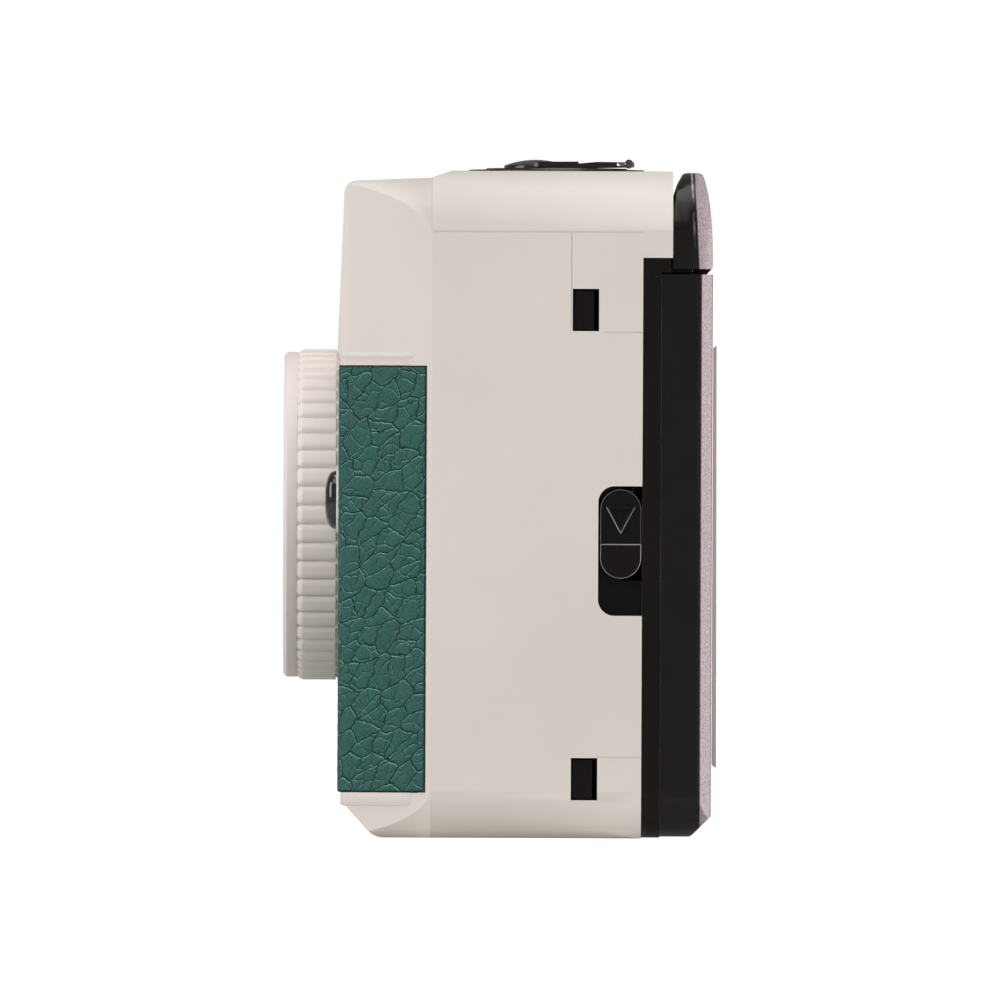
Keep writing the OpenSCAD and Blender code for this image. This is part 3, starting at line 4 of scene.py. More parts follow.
import bmesh
import bpy
import numpy as np
from mathutils import Matrix, Vector
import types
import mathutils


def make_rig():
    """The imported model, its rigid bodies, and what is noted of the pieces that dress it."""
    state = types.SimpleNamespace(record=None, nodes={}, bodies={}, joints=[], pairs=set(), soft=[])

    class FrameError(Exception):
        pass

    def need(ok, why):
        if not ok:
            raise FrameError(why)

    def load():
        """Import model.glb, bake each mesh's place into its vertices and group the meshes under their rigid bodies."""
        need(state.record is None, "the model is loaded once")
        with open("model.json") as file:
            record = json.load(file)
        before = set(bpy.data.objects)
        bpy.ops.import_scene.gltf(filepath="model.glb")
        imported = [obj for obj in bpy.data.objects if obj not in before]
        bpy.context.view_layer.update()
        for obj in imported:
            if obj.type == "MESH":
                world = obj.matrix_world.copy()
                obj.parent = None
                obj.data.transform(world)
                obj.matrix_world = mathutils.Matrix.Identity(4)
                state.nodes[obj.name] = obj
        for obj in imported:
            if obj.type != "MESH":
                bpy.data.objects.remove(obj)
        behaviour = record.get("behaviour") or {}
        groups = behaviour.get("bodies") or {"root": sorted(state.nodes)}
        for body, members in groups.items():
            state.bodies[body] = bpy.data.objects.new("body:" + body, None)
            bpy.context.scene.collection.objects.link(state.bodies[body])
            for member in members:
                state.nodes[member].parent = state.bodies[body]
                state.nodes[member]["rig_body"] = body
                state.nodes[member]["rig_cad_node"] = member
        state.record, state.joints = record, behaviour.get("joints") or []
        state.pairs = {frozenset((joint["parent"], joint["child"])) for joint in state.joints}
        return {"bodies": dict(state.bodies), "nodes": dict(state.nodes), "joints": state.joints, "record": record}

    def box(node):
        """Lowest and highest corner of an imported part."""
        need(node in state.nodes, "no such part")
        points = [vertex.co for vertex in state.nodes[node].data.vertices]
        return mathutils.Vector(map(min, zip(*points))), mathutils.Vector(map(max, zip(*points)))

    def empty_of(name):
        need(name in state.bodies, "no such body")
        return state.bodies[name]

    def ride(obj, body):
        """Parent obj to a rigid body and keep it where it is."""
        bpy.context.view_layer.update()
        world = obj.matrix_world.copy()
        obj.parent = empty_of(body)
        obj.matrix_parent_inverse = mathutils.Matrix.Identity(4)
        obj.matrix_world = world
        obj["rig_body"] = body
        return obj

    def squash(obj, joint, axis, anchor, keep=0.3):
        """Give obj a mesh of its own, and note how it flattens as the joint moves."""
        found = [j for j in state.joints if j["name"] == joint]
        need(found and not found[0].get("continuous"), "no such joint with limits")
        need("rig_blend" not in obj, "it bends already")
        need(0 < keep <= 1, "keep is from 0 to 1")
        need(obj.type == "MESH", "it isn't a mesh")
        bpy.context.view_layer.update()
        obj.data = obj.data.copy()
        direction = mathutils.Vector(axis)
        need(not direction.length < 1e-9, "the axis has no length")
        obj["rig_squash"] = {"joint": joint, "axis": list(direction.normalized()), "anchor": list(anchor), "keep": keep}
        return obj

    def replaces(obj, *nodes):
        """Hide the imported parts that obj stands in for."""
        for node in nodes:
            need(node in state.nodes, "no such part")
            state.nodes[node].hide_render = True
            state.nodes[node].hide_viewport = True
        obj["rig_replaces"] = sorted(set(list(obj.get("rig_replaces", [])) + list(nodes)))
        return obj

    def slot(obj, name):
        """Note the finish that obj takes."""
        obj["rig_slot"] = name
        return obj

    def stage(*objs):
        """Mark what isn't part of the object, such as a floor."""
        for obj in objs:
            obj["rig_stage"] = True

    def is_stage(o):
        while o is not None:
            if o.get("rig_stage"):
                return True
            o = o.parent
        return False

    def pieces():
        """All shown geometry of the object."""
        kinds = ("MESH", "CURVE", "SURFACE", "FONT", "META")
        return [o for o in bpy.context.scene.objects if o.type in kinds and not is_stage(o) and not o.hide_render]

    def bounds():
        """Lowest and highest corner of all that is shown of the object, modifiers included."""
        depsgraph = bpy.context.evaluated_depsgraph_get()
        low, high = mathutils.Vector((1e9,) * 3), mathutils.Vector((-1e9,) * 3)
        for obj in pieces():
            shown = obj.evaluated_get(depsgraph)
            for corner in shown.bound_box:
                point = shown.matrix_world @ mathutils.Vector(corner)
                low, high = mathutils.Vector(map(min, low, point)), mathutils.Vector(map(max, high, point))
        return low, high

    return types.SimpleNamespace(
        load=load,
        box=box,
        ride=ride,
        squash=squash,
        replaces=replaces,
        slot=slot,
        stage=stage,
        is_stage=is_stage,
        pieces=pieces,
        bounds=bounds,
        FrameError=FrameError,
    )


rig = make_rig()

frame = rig.load()
cad_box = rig.bounds()
nodes = frame["nodes"]
scene = bpy.context.scene

# ---- Camera ----
# A long lens, square to the latch side and level with the lens, as small goods are shown in a
# catalogue. It sees 91 mm across at the near side of the body, and stands close enough for the
# clipping distance that the other views are given.
mm = 0.001
near_side = 55 * mm
seen_width = 91 * mm
stand_off = 3500 * mm
view = bpy.data.cameras.new("view")
view.sensor_width = 36
view.lens = view.sensor_width * stand_off / seen_width
view.clip_end = 50
camera = bpy.data.objects.new("camera_view", view)
camera.location = (near_side + stand_off, 0.05 * mm, 30.8 * mm)
camera.rotation_euler = (math.radians(90), math.radians(-0.25), math.radians(90))
scene.collection.objects.link(camera)
scene.camera = camera
scene.view_settings.view_transform = "Standard"

# ---- Middle housing ----
# One injection moulding in cream ABS with a fine spark-eroded grain, open at the front and back.
# The moulder's steel leaves every outer edge slightly rounded and faint lines where its inserts met.


def linear(r, g, b):
    """A colour given as it looks on a screen, 0 to 255, for a shader's socket."""
    parts = [c / 255 for c in (r, g, b)]
    return tuple(c / 12.92 if c <= 0.04045 else ((c + 0.055) / 1.055) ** 2.4 for c in parts) + (1,)


def new_material(name):
    """An empty node material with its shader, output and object coordinates."""
    material = bpy.data.materials.new(name)
    material.use_nodes = True
    tree = material.node_tree
    shader = tree.nodes["Principled BSDF"]
    place = tree.nodes.new("ShaderNodeTexCoord").outputs["Object"]
    return material, tree, shader, place


def noise(tree, place, per_metre, detail=3, rough=0.55, stretch=None):
    """Noise with so many waves to the metre, from 0 to 1."""
    node = tree.nodes.new("ShaderNodeTexNoise")
    node.inputs["Scale"].default_value = per_metre
    node.inputs["Detail"].default_value = detail
    node.inputs["Roughness"].default_value = rough
    if stretch:
        mapping = tree.nodes.new("ShaderNodeMapping")
        mapping.inputs["Scale"].default_value = stretch
        tree.links.new(place, mapping.inputs["Vector"])
        place = mapping.outputs["Vector"]
    tree.links.new(place, node.inputs["Vector"])
    return node.outputs["Fac"]


def spread(tree, value, low, high, to_low=0.0, to_high=1.0):
    """Maps value from low..high to to_low..to_high and holds it there."""
    node = tree.nodes.new("ShaderNodeMapRange")
    for name, number in (("From Min", low), ("From Max", high), ("To Min", to_low), ("To Max", to_high)):
        node.inputs[name].default_value = number
    tree.links.new(value, node.inputs["Value"])
    return node.outputs["Result"]


def blended(tree, amount, first, second):
    """A colour between first and second, each a colour or a socket."""
    node = tree.nodes.new("ShaderNodeMix")
    node.data_type = "RGBA"
    tree.links.new(amount, node.inputs["Factor"])
    for socket, colour in ((node.inputs[6], first), (node.inputs[7], second)):
        if isinstance(colour, tuple):
            socket.default_value = colour
        else:
            tree.links.new(colour, socket)
    return node.outputs[2]


def relief(tree, shader, height, depth, strength=1.0, under=None):
    """Adds a bump of the given depth in metres, over an earlier bump if one is given."""
    node = tree.nodes.new("ShaderNodeBump")
    node.inputs["Distance"].default_value = depth
    node.inputs["Strength"].default_value = strength
    tree.links.new(height, node.inputs["Height"])
    if under is not None:
        tree.links.new(under, node.inputs["Normal"])
    tree.links.new(node.outputs["Normal"], shader.inputs["Normal"])
    return node.outputs["Normal"]


def moulded(name, colour, tint, rough=(0.42, 0.55), grain=2600, depth=0.012 * mm, strength=0.35, shine=0.5):
    """Moulded plastic: two close tints in slow clouds, uneven gloss and a fine grain."""
    material, tree, shader, place = new_material(name)
    clouds = spread(tree, noise(tree, place, 45, 4), 0.35, 0.65)
    tree.links.new(blended(tree, clouds, linear(*colour), linear(*tint)), shader.inputs["Base Color"])
    patches = spread(tree, noise(tree, place, 160, 3), 0.3, 0.7, *rough)
    tree.links.new(patches, shader.inputs["Roughness"])
    shader.inputs["Specular IOR Level"].default_value = shine
    relief(tree, shader, noise(tree, place, grain, 2, 0.6), depth, strength)
    return material


def dress(name, material):
    """Gives a CAD node its finish."""
    mesh = nodes[name].data
    mesh.materials.clear()
    mesh.materials.append(material)


def add_piece(name, mesh, material, body, *replaced):
    """A finished mesh as a piece that rides on a body and stands for CAD nodes."""
    if material:
        mesh.materials.clear()
        mesh.materials.append(material)
    piece = bpy.data.objects.new(name, mesh)
    scene.collection.objects.link(piece)
    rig.ride(piece, body)
    if replaced:
        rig.replaces(piece, *replaced)
    return piece


def smoothed(shape, name, sharp):
    """The working shape as a mesh that faces outwards, smooth but for edges above sharp degrees."""
    bmesh.ops.recalc_face_normals(shape, faces=shape.faces)
    mesh = bpy.data.meshes.new(name)
    shape.to_mesh(mesh)
    shape.free()
    mesh.shade_smooth()
    mesh.set_sharp_from_angle(angle=math.radians(sharp))
    return mesh


def settled(piece):
    """The piece's mesh with its modifiers worked in, and the working object removed."""
    graph = bpy.context.evaluated_depsgraph_get()
    mesh = bpy.data.meshes.new_from_object(piece.evaluated_get(graph), depsgraph=graph)
    bpy.data.objects.remove(piece)
    return mesh


def eased(node, width, material, name, steps=2, sharp=32, carve=(), edge=None, plain=None, slices=(), reshape=None):
    """A CAD node's form with its edges rounded by width and the rounds given the finish edge, a painted highlight where
    one is given.

    It is cut first by the objects in carve. Edges where plain says so keep the main finish.
    Slices, each a place and a direction, give reshape more points to move.
    """
    mesh = nodes[node].data.copy()
    mesh.materials.clear()
    for finish in (material, edge or material):
        mesh.materials.append(finish)
    shape = bmesh.new()
    shape.from_mesh(mesh)
    weld, flat_within = 0.002 * mm, math.radians(0.4)
    bmesh.ops.remove_doubles(shape, verts=shape.verts, dist=weld)
    bmesh.ops.dissolve_limit(shape, angle_limit=flat_within, verts=shape.verts, edges=shape.edges)
    for at, across in slices:
        parts = shape.verts[:] + shape.edges[:] + shape.faces[:]
        bmesh.ops.bisect_plane(shape, geom=parts, plane_co=at, plane_no=across, dist=weld / 2)
    shape.to_mesh(mesh)
    shape.free()
    work = bpy.data.objects.new(node + "_work", mesh)
    scene.collection.objects.link(work)
    for cutter in carve:
        cut = work.modifiers.new("cut", "BOOLEAN")
        cut.operation = "DIFFERENCE"
        cut.solver = "MANIFOLD"
        cut.object = cutter
    bevel = work.modifiers.new("bevel", "BEVEL")
    bevel.width = width
    bevel.segments = steps
    bevel.limit_method = "ANGLE"
    bevel.angle_limit = math.radians(sharp)
    bevel.miter_outer = "MITER_ARC"
    bevel.use_clamp_overlap = True
    bevel.harden_normals = True
    bevel.material = 1
    mesh = settled(work)
    while len(mesh.materials) > 2:  # a bare cutter leaves an empty place that no face uses
        mesh.materials.pop()
    if plain:
        for face in mesh.polygons:
            if plain(*face.center):
                face.material_index = 0
    if reshape:
        for point in mesh.vertices:
            point.co = reshape(*point.co)
    return add_piece(name, mesh, None, nodes[node]["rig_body"], node)


cream = moulded("cream_abs", (225, 218, 211), (220, 213, 206))
# A paler cream for the rounded edges: a painted highlight along them.
cream_edge_highlight = moulded("cream_abs_edge", (243, 238, 231), (238, 232, 225))
witness = 0.07 * mm
side_x = 55 * mm


def groove(name, y, z, width, height):
    """A shallow bar across the latch side, to cut an insert's line with."""
    bpy.ops.mesh.primitive_cube_add(size=1)
    bar = bpy.context.object
    bar.name = name
    bar.data.transform(Matrix.Diagonal((2 * witness, width, height, 1)))
    bar.data.transform(Matrix.Translation((side_x, y, z)))
    return bar


line = 0.11 * mm
marks = [
    groove("insert_front", 6.5 * mm, 50.65 * mm, line, 9.1 * mm),
    groove("insert_low", 11.2 * mm, 46.1 * mm, 3.6 * mm, line),
    groove("lower_insert_top", 11.0 * mm, 7.4 * mm, 4.4 * mm, line),
    groove("lower_insert_foot", 11.0 * mm, 3.55 * mm, 4.4 * mm, line),
    groove("roof_line", 3.5 * mm, 55.22 * mm, 19.0 * mm, line),
]
# The housing's rounded edges take the painted highlight.
eased("body_shell", 0.12 * mm, cream, "middle_housing", carve=marks, edge=cream_edge_highlight)
for bar in marks:
    bpy.data.objects.remove(bar)

# ---- Inner frame ----
# The black frame between the housing and the door carries the film path. Its rim and the snap
# hooks behind the housing's windows show; it is moulded in ABS with a satin face.
satin_black = moulded("satin_black_abs", (17, 11, 9), (12, 8, 7), (0.3, 0.42), 3200, 0.008 * mm, 0.25, 0.18)
# Pale grey on the rounded edges of the frame and the door is a painted highlight.
black_edge_highlight = moulded("rubbed_black_abs", (142, 132, 127), (98, 91, 87), (0.2, 0.3), 3200, 0.004 * mm, 0.25, 0.5)
eased("chassis", 0.1 * mm, satin_black, "inner_frame", edge=black_edge_highlight)

# ---- Front cover ----
# A second cream moulding with slanted corners, a bead above the leather and a step up to the
# deck. It comes from another tool, so its tint is a shade pinker than the housing's.
cover_cream = moulded("cover_cream_abs", (226, 218, 211), (222, 213, 206))
# The cover's rounded edges take the painted highlight too.
eased("front_cover", 0.14 * mm, cover_cream, "front_cover_moulding", edge=cream_edge_highlight)

# ---- Leather wrap ----
# Pebbled green leatherette, 0.5 mm thick, glued round the front and over both slanted corners.
# Its skin is drawn as creased cells with a few long folds, rolled down at the cut edges.
# The creases and the cut edges carry painted shade, and a painted highlight runs just below each crease.
pad_low, pad_high, pad_thick = 4.15 * mm, 43.0 * mm, 0.5 * mm
pad_front, pad_corner, pad_end = -14.7 * mm, 51.74 * mm, (54.95 * mm, -6.7 * mm)
pad_round, ring_hole = 1.3 * mm, 14.6 * mm
lens_height = 29.4 * mm


def wrap_line():
    """Points along the wrap's outer face from one end to the other: x, y, outward x and y, run."""
    slant = math.atan2(pad_end[0] - pad_corner, pad_end[1] - pad_front)
    sweep = math.pi / 2 - slant
    trim = pad_round * math.tan(sweep / 2)
    length = math.hypot(pad_end[0] - pad_corner, pad_end[1] - pad_front) - trim
    along, out = (math.sin(slant), math.cos(slant)), (math.cos(slant), -math.sin(slant))
    half = []
    for step in np.linspace(0, length, 52):
        half.append((pad_end[0] - along[0] * step, pad_end[1] - along[1] * step, *out))
    cx, cy = pad_corner - trim, pad_front + pad_round
    for step in np.linspace(0, sweep, 9)[1:]:
        a = -slant - step
        half.append((cx + pad_round * math.cos(a), cy + pad_round * math.sin(a), math.cos(a), math.sin(a)))
    flat = [(x, pad_front, 0, -1) for x in np.linspace(cx, -cx, 280)[1:-1]]
    points = np.array(half + flat + [(-x, y, -nx, ny) for x, y, nx, ny in reversed(half)])
    run = np.concatenate([[0], np.cumsum(np.hypot(*np.diff(points[:, :2], axis=0).T))])
    return np.column_stack([points, run])


def combined(tree, operation, first, second):
    """The result of a sum on two numbers or sockets."""
    node = tree.nodes.new("ShaderNodeMath")
    node.operation = operation
    for socket, value in zip(node.inputs, (first, second)):
        if isinstance(value, (int, float)):
            socket.default_value = value
        else:
            tree.links.new(value, socket)
    return node.outputs[0]


def skin_folds(tree, place):
    """Fold depth, 0 to 1, and distance in metres to the nearest fold, in a shader or geometry tree."""
    strays = 1.1 * mm  # how far noise bends the folds
    add, link = tree.nodes.new, tree.links.new
    wander = add("ShaderNodeTexNoise")
    wander.inputs["Scale"].default_value = 620
    wander.inputs["Detail"].default_value = 2.5
    link(place, wander.inputs["Vector"])
    shift, warped = add("ShaderNodeVectorMath"), add("ShaderNodeVectorMath")
    shift.operation = "MULTIPLY_ADD"
    shift.inputs[1].default_value = (strays,) * 3
    shift.inputs[2].default_value = (-strays / 2,) * 3
    link(wander.outputs["Color"], shift.inputs[0])
    link(place, warped.inputs[0])
    link(shift.outputs[0], warped.inputs[1])

    def borders(size, turn, stretch):
        """Distance to the nearest border between cells of about the given size."""
        turned, lay = add("ShaderNodeVectorRotate"), add("ShaderNodeVectorMath")
        cells = add("ShaderNodeTexVoronoi")
        turned.rotation_type = "Z_AXIS"
        turned.inputs["Angle"].default_value = math.radians(turn)
        lay.operation = "MULTIPLY"
        lay.inputs[1].default_value = (1, stretch, 1)
        cells.voronoi_dimensions, cells.feature = "2D", "DISTANCE_TO_EDGE"
        cells.inputs["Scale"].default_value = 1 / size
        link(warped.outputs[0], turned.inputs["Vector"])
        link(turned.outputs[0], lay.inputs[0])
        link(lay.outputs[0], cells.inputs["Vector"])
        return combined(tree, "MULTIPLY", cells.outputs["Distance"], size)

    long_folds, pebbles = borders(1.6 * mm, -52, 0.62), borders(1.2 * mm, -30, 0.85)
    patchy = spread(tree, noise(tree, place, 330, 2), 0.36, 0.56, 0.25, 1)
    deep = spread(tree, long_folds, 0.015 * mm, 0.075 * mm, 1, 0)
    faded = combined(tree, "MULTIPLY", spread(tree, pebbles, 0.01 * mm, 0.06 * mm, 0.8, 0), patchy)
    return combined(tree, "MAXIMUM", deep, faded), combined(tree, "MINIMUM", long_folds, pebbles)


def geometry_tree(name, **inputs):
    """An empty geometry tree: the group, its node maker, its linker and its input sockets."""
    group = bpy.data.node_groups.new(name, "GeometryNodeTree")
    for label, kind in inputs.items():
        group.interface.new_socket(label, in_out="INPUT", socket_type="NodeSocket" + kind)
    group.interface.new_socket("Geometry", in_out="OUTPUT", socket_type="NodeSocketGeometry")
    return group, group.nodes.new, group.links.new, group.nodes.new("NodeGroupInput").outputs


def ended(group, form, finish):
    """Ends a tree: the form's copies are made real, given their finish and sent out."""
    add, link = group.nodes.new, group.links.new
    real, coat = add("GeometryNodeRealizeInstances"), add("GeometryNodeSetMaterial")
    link(form, real.inputs[0])
    link(real.outputs[0], coat.inputs["Geometry"])
    link(finish, coat.inputs["Material"])
    link(coat.outputs[0], add("NodeGroupOutput").inputs[0])
    return group


def folded_skin():
    """A tree that presses the folds into a sheet's outer face along its outward directions."""
    group, add, link, given = geometry_tree("folded_skin", Sheet="Geometry", Depth="Float", Finish="Material")

    def stored(name, kind):
        node = add("GeometryNodeInputNamedAttribute")
        node.data_type = kind
        node.inputs["Name"].default_value = name
        return node.outputs["Attribute"]

    fold, near = skin_folds(group, stored("laid_flat", "FLOAT_VECTOR"))
    crown = spread(group, near, 0, 0.5 * mm, 0.45, 0)
    rolled = combined(group, "MAXIMUM", stored("roll", "FLOAT"), combined(group, "ADD", fold, crown))
    masked = combined(group, "MULTIPLY", rolled, stored("skin", "FLOAT"))
    offset, move = add("ShaderNodeVectorMath"), add("GeometryNodeSetPosition")
    offset.operation = "SCALE"
    link(stored("inward", "FLOAT_VECTOR"), offset.inputs[0])
    link(combined(group, "MULTIPLY", masked, given["Depth"]), offset.inputs["Scale"])
    link(given["Sheet"], move.inputs["Geometry"])
    link(offset.outputs[0], move.inputs["Offset"])
    return ended(group, move.outputs[0], given["Finish"])


def leather_wrap():
    """The wrap as a closed sheet: fine outer face, plain back and a hole for the ring."""
    path = wrap_line()
    rows = np.linspace(pad_low, pad_high, 236)
    count, tall = len(path), len(rows)
    outer = [(x, y, z) for x, y, _, _, _ in path for z in rows]
    inner = [(x - nx * pad_thick, y - ny * pad_thick, z) for x, y, nx, ny, _ in path for z in (pad_low, pad_high)]
    back = count * tall
    faces = []
    for i in range(count - 1):
        a, b = i * tall, (i + 1) * tall
        faces += [(a + j, b + j, b + j + 1, a + j + 1) for j in range(tall - 1)]
        p, q = back + 2 * i, back + 2 * i + 2
        faces += [(p, p + 1, q + 1, q), (a, p, q, b), (a + tall - 1, b + tall - 1, q + 1, p + 1)]
    last = (count - 1) * tall
    far = back + 2 * count - 2
    faces += [list(range(tall)) + [back + 1, back], list(range(last + tall - 1, last - 1, -1)) + [far, far + 1]]
    mesh = bpy.data.meshes.new("leather_wrap")
    mesh.from_pydata(outer + inner, [], faces)
    work = bpy.data.objects.new("leather_work", mesh)
    scene.collection.objects.link(work)
    shape = bmesh.new()
    shape.from_mesh(mesh)
    bmesh.ops.recalc_face_normals(shape, faces=shape.faces)
    shape.to_mesh(mesh)
    shape.free()
    bpy.ops.mesh.primitive_cylinder_add(vertices=128, radius=ring_hole, depth=8 * mm, rotation=(math.pi / 2, 0, 0),
                                        location=(0, pad_front, lens_height))
    hole = bpy.context.object
    cut = work.modifiers.new("cut", "BOOLEAN")
    cut.solver = "MANIFOLD"
    cut.object = hole
    mesh = settled(work)
    bpy.data.objects.remove(hole)
    place = np.zeros(len(mesh.vertices) * 3)
    mesh.vertices.foreach_get("co", place)
    place = place.reshape(-1, 3)
    nearest = np.array([np.argmin((path[:, 0] - x) ** 2 + (path[:, 1] - y) ** 2) for x, y in place[:, :2]])
    line = path[nearest]
    depth = (place[:, 0] - line[:, 0]) * line[:, 2] + (place[:, 1] - line[:, 1]) * line[:, 3]
    radial = np.hypot(place[:, 0], place[:, 2] - lens_height) - ring_hole
    run, z = line[:, 4], place[:, 2]
    edge = np.minimum.reduce([run, path[-1, 4] - run, z - pad_low, pad_high - z, np.abs(radial)])
    flat = np.column_stack([run, z, np.zeros(len(z))])
    inward = np.column_stack([-line[:, 2], -line[:, 3], np.zeros(len(z))])
    for name, value in (("skin", depth > -0.1 * mm), ("roll", np.clip(1 - edge / (0.3 * mm), 0, 1) ** 2)):
        mesh.attributes.new(name, "FLOAT", "POINT").data.foreach_set("value", value.astype(np.float32))
    for name, value in (("laid_flat", flat), ("inward", inward)):
        mesh.attributes.new(name, "FLOAT_VECTOR", "POINT").data.foreach_set("vector", value.astype(np.float32).ravel())
    work = bpy.data.objects.new("leather_work", mesh)
    scene.collection.objects.link(work)
    press = work.modifiers.new("press", "NODES")
    press.node_group = folded_skin()
    for item in press.node_group.interface.items_tree:
        if item.in_out == "INPUT" and item.name != "Sheet":
            press[item.identifier] = {"Depth": 0.1 * mm, "Finish": leather}[item.name]
    mesh = settled(work)
    mesh.shade_smooth()
    mesh.set_sharp_from_angle(angle=math.radians(60))
    return mesh


leather, tree, shader, place = new_material("green_leatherette")
attribute = tree.nodes.new("ShaderNodeAttribute")
attribute.attribute_name = "laid_flat"
laid_flat = attribute.outputs["Vector"]
fold, near = skin_folds(tree, laid_flat)
clouds = spread(tree, noise(tree, laid_flat, 420, 4), 0.35, 0.65)
fine = spread(tree, noise(tree, laid_flat, 6500, 2, 0.7), 0.35, 0.65)
face_green = blended(tree, clouds, linear(20, 68, 60), linear(32, 84, 75))
grained_green = blended(tree, fine, face_green, linear(52, 106, 96))
# A painted highlight just below each crease, where light from above catches its lower wall.
just_above = tree.nodes.new("ShaderNodeVectorMath")
just_above.inputs[1].default_value = (-0.03 * mm, 0.1 * mm, 0)
tree.links.new(laid_flat, just_above.inputs[0])
crest_highlight = combined(tree, "MULTIPLY", spread(tree, skin_folds(tree, just_above.outputs[0])[0], 0.25, 0.8, 0, 0.9),
                 spread(tree, noise(tree, laid_flat, 1100, 2), 0.38, 0.54, 0.15, 1))
lit_green = blended(tree, crest_highlight, grained_green, linear(112, 166, 152))
# Painted shade darkens the creases.
crease_shaded_green = blended(tree, spread(tree, fold, 0.25, 0.9), lit_green, linear(12, 44, 37))
# Painted shade darkens the rolled-down cut edges.
edge_shade = tree.nodes.new("ShaderNodeAttribute")
edge_shade.attribute_name = "roll"
tree.links.new(blended(tree, spread(tree, edge_shade.outputs["Fac"], 0.1, 0.4), crease_shaded_green, linear(16, 34, 30)),
               shader.inputs["Base Color"])
tree.links.new(spread(tree, noise(tree, laid_flat, 900, 3), 0.3, 0.7, 0.5, 0.68), shader.inputs["Roughness"])
shader.inputs["Specular IOR Level"].default_value = 0.3
pores = relief(tree, shader, fine, 0.03 * mm, 0.6)
relief(tree, shader, spread(tree, fold, 0, 1, 1, 0), 0.12 * mm, 0.6, pores)
add_piece("leather_wrap", leather_wrap(), leather, "camera", "leatherette")


def swept_bead(name, section, starts, fade, set_back=0.0):
    """A bead along the wrap's line from a section of (outward, height) points.

    It sinks into the cover at its ends, and by set_back along the flat front.
    """
    path = [row for row in wrap_line() if row[1] < starts]
    shape = bmesh.new()
    rows = []
    for x, y, nx, ny, _ in path:
        sunk = 0.3 * mm * max(0, 1 - (starts - y) / fade) ** 2 + set_back * max(0, 1 - abs(nx) / 0.9)
        rows.append([shape.verts.new((x + nx * (out * mm - sunk), y + ny * (out * mm - sunk), z * mm))
                     for out, z in section])
    for a, b in zip(rows, rows[1:]):
        for j in range(len(section)):
            i = (j + 1) % len(section)
            shape.faces.new((a[j], b[j], b[i], a[i]))
    shape.faces.new(rows[0])
    shape.faces.new(rows[-1][::-1])
    return smoothed(shape, name, 50)


# The cover's bead runs just above the leather, over the front and both slanted corners, and a
# narrow ledge carries the leather's lower edge.
bead_section = [(-0.6, 43.02), (-0.08, 43.04), (-0.13, 43.5), (0.0, 43.74), (0.03, 43.9), (0.0, 44.06), (-0.12, 44.2),
                (-0.6, 44.3)]
ledge_section = [(-0.6, 2.85), (-0.08, 2.95), (-0.02, 3.1), (-0.02, 3.85), (-0.1, 4.12), (-0.6, 4.13)]
for name, section, set_back in (("cover_bead", bead_section, 0), ("cover_ledge", ledge_section, 0.34 * mm)):
    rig.slot(add_piece(name, swept_bead(name, section, -7.4 * mm, 1.6 * mm, set_back), cover_cream, "camera"),
            "cream_plastic")

# ---- Flash ring ----
# A ribbed ring turned by the fingertips to switch the flash. It is one cream moulding: a smooth
# flange in front, and behind it a grip of wide lands between narrow grooves.


def turned(name, profile, steps, round_by):
    """A solid of revolution from a closed profile of (radius, distance) points, about the lens axis."""
    shape = bmesh.new()
    rings = []
    for k in range(steps):
        a = 2 * math.pi * k / steps
        rings.append([shape.verts.new((r * math.cos(a), d, r * math.sin(a))) for r, d in profile])
    for k in range(steps):
        a, b = rings[k], rings[(k + 1) % steps]
        for j in range(len(profile)):
            i = (j + 1) % len(profile)
            shape.faces.new((a[j], a[i], b[i], b[j]))
    bmesh.ops.remove_doubles(shape, verts=shape.verts, dist=0.001 * mm)
    bmesh.ops.recalc_face_normals(shape, faces=shape.faces)
    mesh = bpy.data.meshes.new(name)
    shape.to_mesh(mesh)
    shape.free()
    work = bpy.data.objects.new(name + "_work", mesh)
    scene.collection.objects.link(work)
    bevel = work.modifiers.new("bevel", "BEVEL")
    bevel.width, bevel.segments, bevel.limit_method = round_by, 3, "ANGLE"
    bevel.angle_limit = math.radians(30)
    mesh = settled(work)
    mesh.shade_smooth()
    mesh.set_sharp_from_angle(angle=math.radians(35))
    return mesh


def copies_round():
    """A tree that sets copies of a part in a circle about Z, then turns and moves the whole."""
    group, add, link, given = geometry_tree("copies_round", Part="Object", Count="Int", Turn="Vector",
                                            Centre="Vector", Finish="Material")
    points, turn = add("GeometryNodePoints"), add("ShaderNodeCombineXYZ")
    link(given["Count"], points.inputs["Count"])
    share = combined(group, "DIVIDE", 2 * math.pi, given["Count"])
    link(combined(group, "MULTIPLY", add("GeometryNodeInputIndex").outputs[0], share), turn.inputs["Z"])
    part = add("GeometryNodeObjectInfo")
    link(given["Part"], part.inputs["Object"])
    spots = add("GeometryNodeInstanceOnPoints")
    link(points.outputs[0], spots.inputs["Points"])
    link(part.outputs["Geometry"], spots.inputs["Instance"])
    link(turn.outputs[0], spots.inputs["Rotation"])
    move = add("GeometryNodeTransform")
    link(spots.outputs[0], move.inputs["Geometry"])
    link(given["Turn"], move.inputs["Rotation"])
    link(given["Centre"], move.inputs["Translation"])
    return ended(group, move.outputs[0], given["Finish"])


def grown(name, group, **given):
    """Runs a tree with its inputs set by identifier and returns the plain mesh."""
    work = bpy.data.objects.new(name + "_work", bpy.data.meshes.new(name))
    scene.collection.objects.link(work)
    nodes_in = work.modifiers.new("tree", "NODES")
    nodes_in.node_group = group
    for item in group.interface.items_tree:
        if item.in_out == "INPUT":
            nodes_in[item.identifier] = given[item.name]
    return settled(work)


def block(name, size, centre, round_by):
    """A small block with rounded edges."""
    shape = bmesh.new()
    bmesh.ops.create_cube(shape, size=1)
    bmesh.ops.scale(shape, vec=size, verts=shape.verts)
    bmesh.ops.bevel(shape, geom=shape.edges[:], offset=round_by, segments=3, affect="EDGES", profile=0.5)
    bmesh.ops.translate(shape, vec=centre, verts=shape.verts)
    mesh = bpy.data.meshes.new(name)
    shape.to_mesh(mesh)
    shape.free()
    mesh.shade_smooth()
    return mesh
